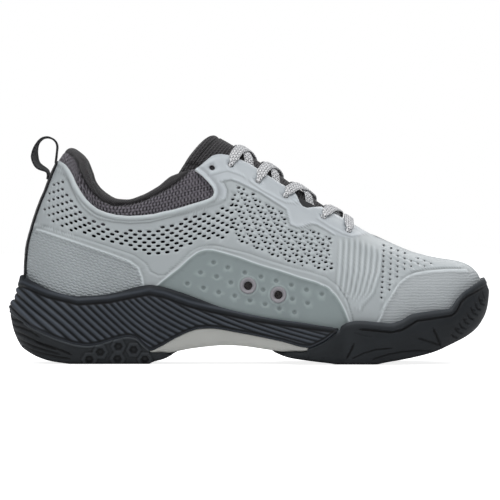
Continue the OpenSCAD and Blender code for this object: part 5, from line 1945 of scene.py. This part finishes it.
def build_grommets():
    # section of the ring: radius, height over the surface
    section = resample(pairs("""2.55 -1.2  2.6 -.6  2.75 -.1  3.1 .35  3.55 .72  4.1 .95
        4.6 .92  4.95 .6  5.15 .15  5.1 -.05  4.62 -.1  4.6 -1.2"""), .16, curved=False)
    relax(section, rounds=2, keep=.6, pull=.2)
    k, m = len(section), 72
    angle = np.linspace(0, TAU, m, endpoint=False)
    idx = np.arange(k * m).reshape(k, m)
    turned = np.roll(idx, -1, 1)
    quads = np.stack([idx, turned, np.roll(turned, -1, 0), np.roll(idx, -1, 0)], -1).reshape(-1, 4)
    verts, faces = [], []
    for i, (centre, normal, first, second) in enumerate(vent_frames()):
        spokes = first[None] * np.cos(angle)[:, None] + second[None] * np.sin(angle)[:, None]
        ring = (centre + spokes[None] * section[:, 0][:, None, None]
                + normal * section[:, 1][:, None, None])
        verts.append(ring.reshape(-1, 3))
        faces += (quads + i * k * m).tolist()
    tidy(make_mesh("vent_grommet_rings", np.concatenate(verts), faces, [looks["vent"]],
                   ("vent_grommets",)))


def build_vent_weave():
    """A small woven lattice of flat strands, recessed in each vent."""
    pitch, radius, depth = .62, 2.75, .75
    section = [(.11, .06), (-.11, .06), (-.11, -.06), (.11, -.06)]
    strand = ring_faces(26, 4) + tube_caps(26, 4)
    verts, faces = [], []
    for surface, normal, first, second in vent_frames():
        centre = surface - normal * depth
        for along, across, phase in ((first, second, 1), (second, first, -1)):
            for k in range(-4, 5):
                offset = k * pitch
                reach = math.sqrt(radius ** 2 - offset * offset)
                t = np.linspace(-reach, reach, 26)
                wave = .09 * np.sin(t / pitch * math.pi + (k % 2) * math.pi) * phase
                line = centre + along * t[:, None] + across * offset + normal * wave[:, None]
                start = len(verts) * 26 * 4
                faces += [[i + start for i in f] for f in strand]
                sides = [line + across * a + normal * b for a, b in section]
                verts.append(np.stack(sides, 1).reshape(-1, 3))
    tidy(make_mesh("vent_mesh_weave", np.concatenate(verts), faces, [looks["vent_weave"]],
                   ("vent_mesh",)))


build_grommets()
build_vent_weave()


# ------------------------------------------------------------------ webbing: heel tape and pull loop
def ribbon(name, centre, across, normal, half, body, replaces, thick=1.1):
    """A woven strip: centre line, direction across and face normal at each point."""
    s = run_length(centre)
    c = np.linspace(-1, 1, 26)
    edge = np.sqrt(np.maximum(0, 1 - np.clip((np.abs(c) - .93) / .07, 0, 1) ** 2))
    rib = .07 * np.sin(TAU * s[:, None] / 1.1 + np.pi * (np.floor(c * half / .9) % 2)[None])
    stitch = -.16 * bell(np.abs(c) - .78, .035)[None]
    flat = centre[:, None] + across[:, None] * (c * half)[None, :, None]
    top = flat + normal[:, None] * ((thick / 2 + rib + stitch) * edge[None])[..., None]
    bottom = flat - normal[:, None] * ((thick / 2 + rib) * edge[None])[..., None]
    verts = np.concatenate([top, bottom[:, ::-1][:, 1:-1]], 1)
    n, k = verts.shape[:2]
    u = s[:, None] * np.ones((1, k))
    v = np.concatenate([c * half, (c * half)[::-1][1:-1]])[None] * np.ones((n, 1))
    ob = make_mesh(name, verts.reshape(-1, 3), ring_faces(n, k) + tube_caps(n, k),
                   [looks["webbing"]], replaces, body=body,
                   run=np.stack([u.ravel(), v.ravel()], -1))
    tidy(ob)
    return ob


def side_normal(line):
    """Normals, in the centre plane, of a line lying in it."""
    t = unit(np.gradient(line, axis=0))
    return np.stack([-t[:, 2], 0 * t[:, 0], t[:, 0]], -1)


def build_heel_tape():
    z = np.linspace(54.4, 125.6, 150)
    line = np.stack([heel_x(z) - .85, 0 * z, z], -1)
    across = np.tile([0, 1.0, 0], (len(z), 1))
    tape = ribbon("heel_tape_webbing", line, across, side_normal(line), 8.0, "shoe",
                  ("heel_tape",))
    # its edges move forward, so that it wraps the heel
    co = np.array([v.co for v in tape.data.vertices])
    co[:, 0] += (co[:, 1] * 1000) ** 2 / 62 * 0.001
    tape.data.vertices.foreach_set("co", co.astype(np.float32).ravel())
    tape.data.update()


def build_pull_loop():
    points = pairs("""28.6 124.5  29 127.4  29.5 132  29.7 135.6  28.3 138.5  25.7 140.2
        23.2 140.7  20.4 140  17.8 137.5  16.1 133.6  15.5 129  16.3 125.4  18.2 122.6""")
    # lower end: height, distance behind the heel line
    points += [(float(heel_x(z)) - off, z)
               for z, off in pairs("119.8 4.1  117.6 2.4  115.9 1.85  114.4 1.75")]
    line = resample([(x, 0, z) for x, z in points], .6)
    relax(line, rounds=4, keep=.5, pull=.25)
    face = side_normal(line)
    s = run_length(line)
    s /= s[-1]
    twist = np.radians(linear(s, "0 0  .3 0  .5 4  .66 19  .8 16  .92 5  1 0"))
    level = np.tile([0, 1.0, 0], (len(line), 1))
    c, d = np.cos(twist)[:, None], np.sin(twist)[:, None]
    sway = linear(s, "0 0  .5 .6  .7 -1.2  1 0")
    line = line + np.stack([0 * sway, sway, 0 * sway], -1)
    loop = ribbon("pull_loop_webbing", line, unit(level * c + face * d),
                  unit(-level * d + face * c), 6.0, "pull_loop", ("pull_loop",))
    # the loop is taken off the pull loop's body and stays fixed in place, riding on no body
    loop.parent = None
    del loop["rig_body"]
    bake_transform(loop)


build_heel_tape()
build_pull_loop()

# ------------------------------------------------------------------ finishes of the CAD pieces
CAD_FINISH = {
    "outsole": "outsole_heel outsole_forefoot", "shank": "shank_plate", "midsole": "midsole",
    "board": "strobel_board", "insole": "insole_cover", "film": "upper_shell",
    "foam": "insole_foam collar_foam tongue_foam",
    "stiff": "toe_puff heel_counter eyestay_reinforcement",
    "mesh": "mesh_lining tongue_lining vent_mesh", "roll": "collar_lining",
    "tongue": "tongue_face", "lace": "lace", "aglet": "lace_aglets", "vent": "vent_grommets",
    "webbing": "heel_tape pull_loop",
}
for look, nodes_painted in CAD_FINISH.items():
    for node in nodes_painted.split():
        materials = frame["nodes"][node].data.materials
        materials.clear()
        materials.append(looks[look])


# ------------------------------------------------------------------ floor, light, camera (metres)
def build_floor(half_size=6.0, drop=0.0004):
    mat, nodes, surface = new_material("pale_floor")
    cloud = nodes.noise(nodes.place(), scale=0.01)
    surface("Base Color", nodes.ramp(cloud, [(0.3, (0.93, 0.93, 0.93)), (0.7, (0.96, 0.96, 0.96))]))
    surface("Roughness", 0.8)
    surface("Specular IOR Level", 0.1)
    surface("Emission Color", (1, 1, 1))
    # the floor glows for the camera only
    seen = nodes.new("ShaderNodeLightPath").outputs["Is Camera Ray"]
    surface("Emission Strength", nodes.times(seen, 0.85))
    me = bpy.data.meshes.new("floor")
    corners = [(x * half_size, y * half_size, 0) for x, y in ((-1, -1), (1, -1), (1, 1), (-1, 1))]
    me.from_pydata(corners, [], [(0, 1, 2, 3)])
    me.materials.append(mat)
    floor = bpy.data.objects.new("floor", me)
    floor.location.z = -drop
    bpy.context.scene.collection.objects.link(floor)


def build_world():
    """White to the camera; a grey sky, brighter overhead, to everything else."""
    world = bpy.data.worlds.new("studio")
    bpy.context.scene.world = world
    world.use_nodes = True
    nodes = Nodes(world.node_tree)
    background = world.node_tree.nodes["Background"]
    background.inputs["Color"].default_value = (1, 1, 1, 1)
    background.inputs["Strength"].default_value = 1.0
    up = nodes.split(nodes.new("ShaderNodeTexCoord").outputs["Generated"])[2]
    sky = nodes.ramp(up, [(0.0, (0.20, 0.205, 0.21)), (0.35, (0.22, 0.225, 0.23)),
                          (0.95, (0.66, 0.66, 0.68))])
    seen = nodes.new("ShaderNodeLightPath").outputs["Is Camera Ray"]
    nodes.feed(nodes.blend(seen, sky, (1.0, 1.0, 1.0)), background.inputs["Color"])


def aim(ob, direction):
    ob.rotation_mode = "QUATERNION"
    ob.rotation_quaternion = Vector(direction).to_track_quat("-Z", "Y")
    bpy.context.scene.collection.objects.link(ob)


def lamp(name, place, target, size, watts):
    light = bpy.data.lights.new(name, "AREA")
    light.shape = "RECTANGLE"
    light.size, light.size_y = size
    light.energy = watts
    ob = bpy.data.objects.new(name, light)
    ob.location = place
    aim(ob, Vector(target) - Vector(place))


def build_camera(distance=3.6, elevation=math.radians(0.6), view_width=0.3128258603):
    """Looks at the outer side from slightly above; view_width is what it takes in."""
    target_x, target_z = 0.0842, 0.0702
    data = bpy.data.cameras.new("camera")
    camera = bpy.data.objects.new("camera", data)
    bpy.context.scene.camera = camera
    data.sensor_width = 36.0
    data.lens = data.sensor_width * distance / view_width
    back, rise = distance * math.cos(elevation), distance * math.sin(elevation)
    camera.location = (target_x, -back, target_z + rise)
    aim(camera, (0, back, -rise))
    data.clip_start, data.clip_end = 0.05, 60


build_floor()
build_world()
bpy.context.scene.view_settings.view_transform = "Standard"
bpy.context.scene.view_settings.look = "None"
lamp("key_top", place=(0.15, -0.35, 1.1), target=(0.08, 0, 0.05), size=(0.9, 0.6), watts=5.2)
lamp("front_left", place=(-0.7, -1.0, 0.6), target=(0.06, 0, 0.06), size=(0.5, 0.7), watts=2.6)
lamp("rim_back", place=(0.5, 0.9, 0.7), target=(0.08, 0, 0.08), size=(0.8, 0.5), watts=3)
build_camera()
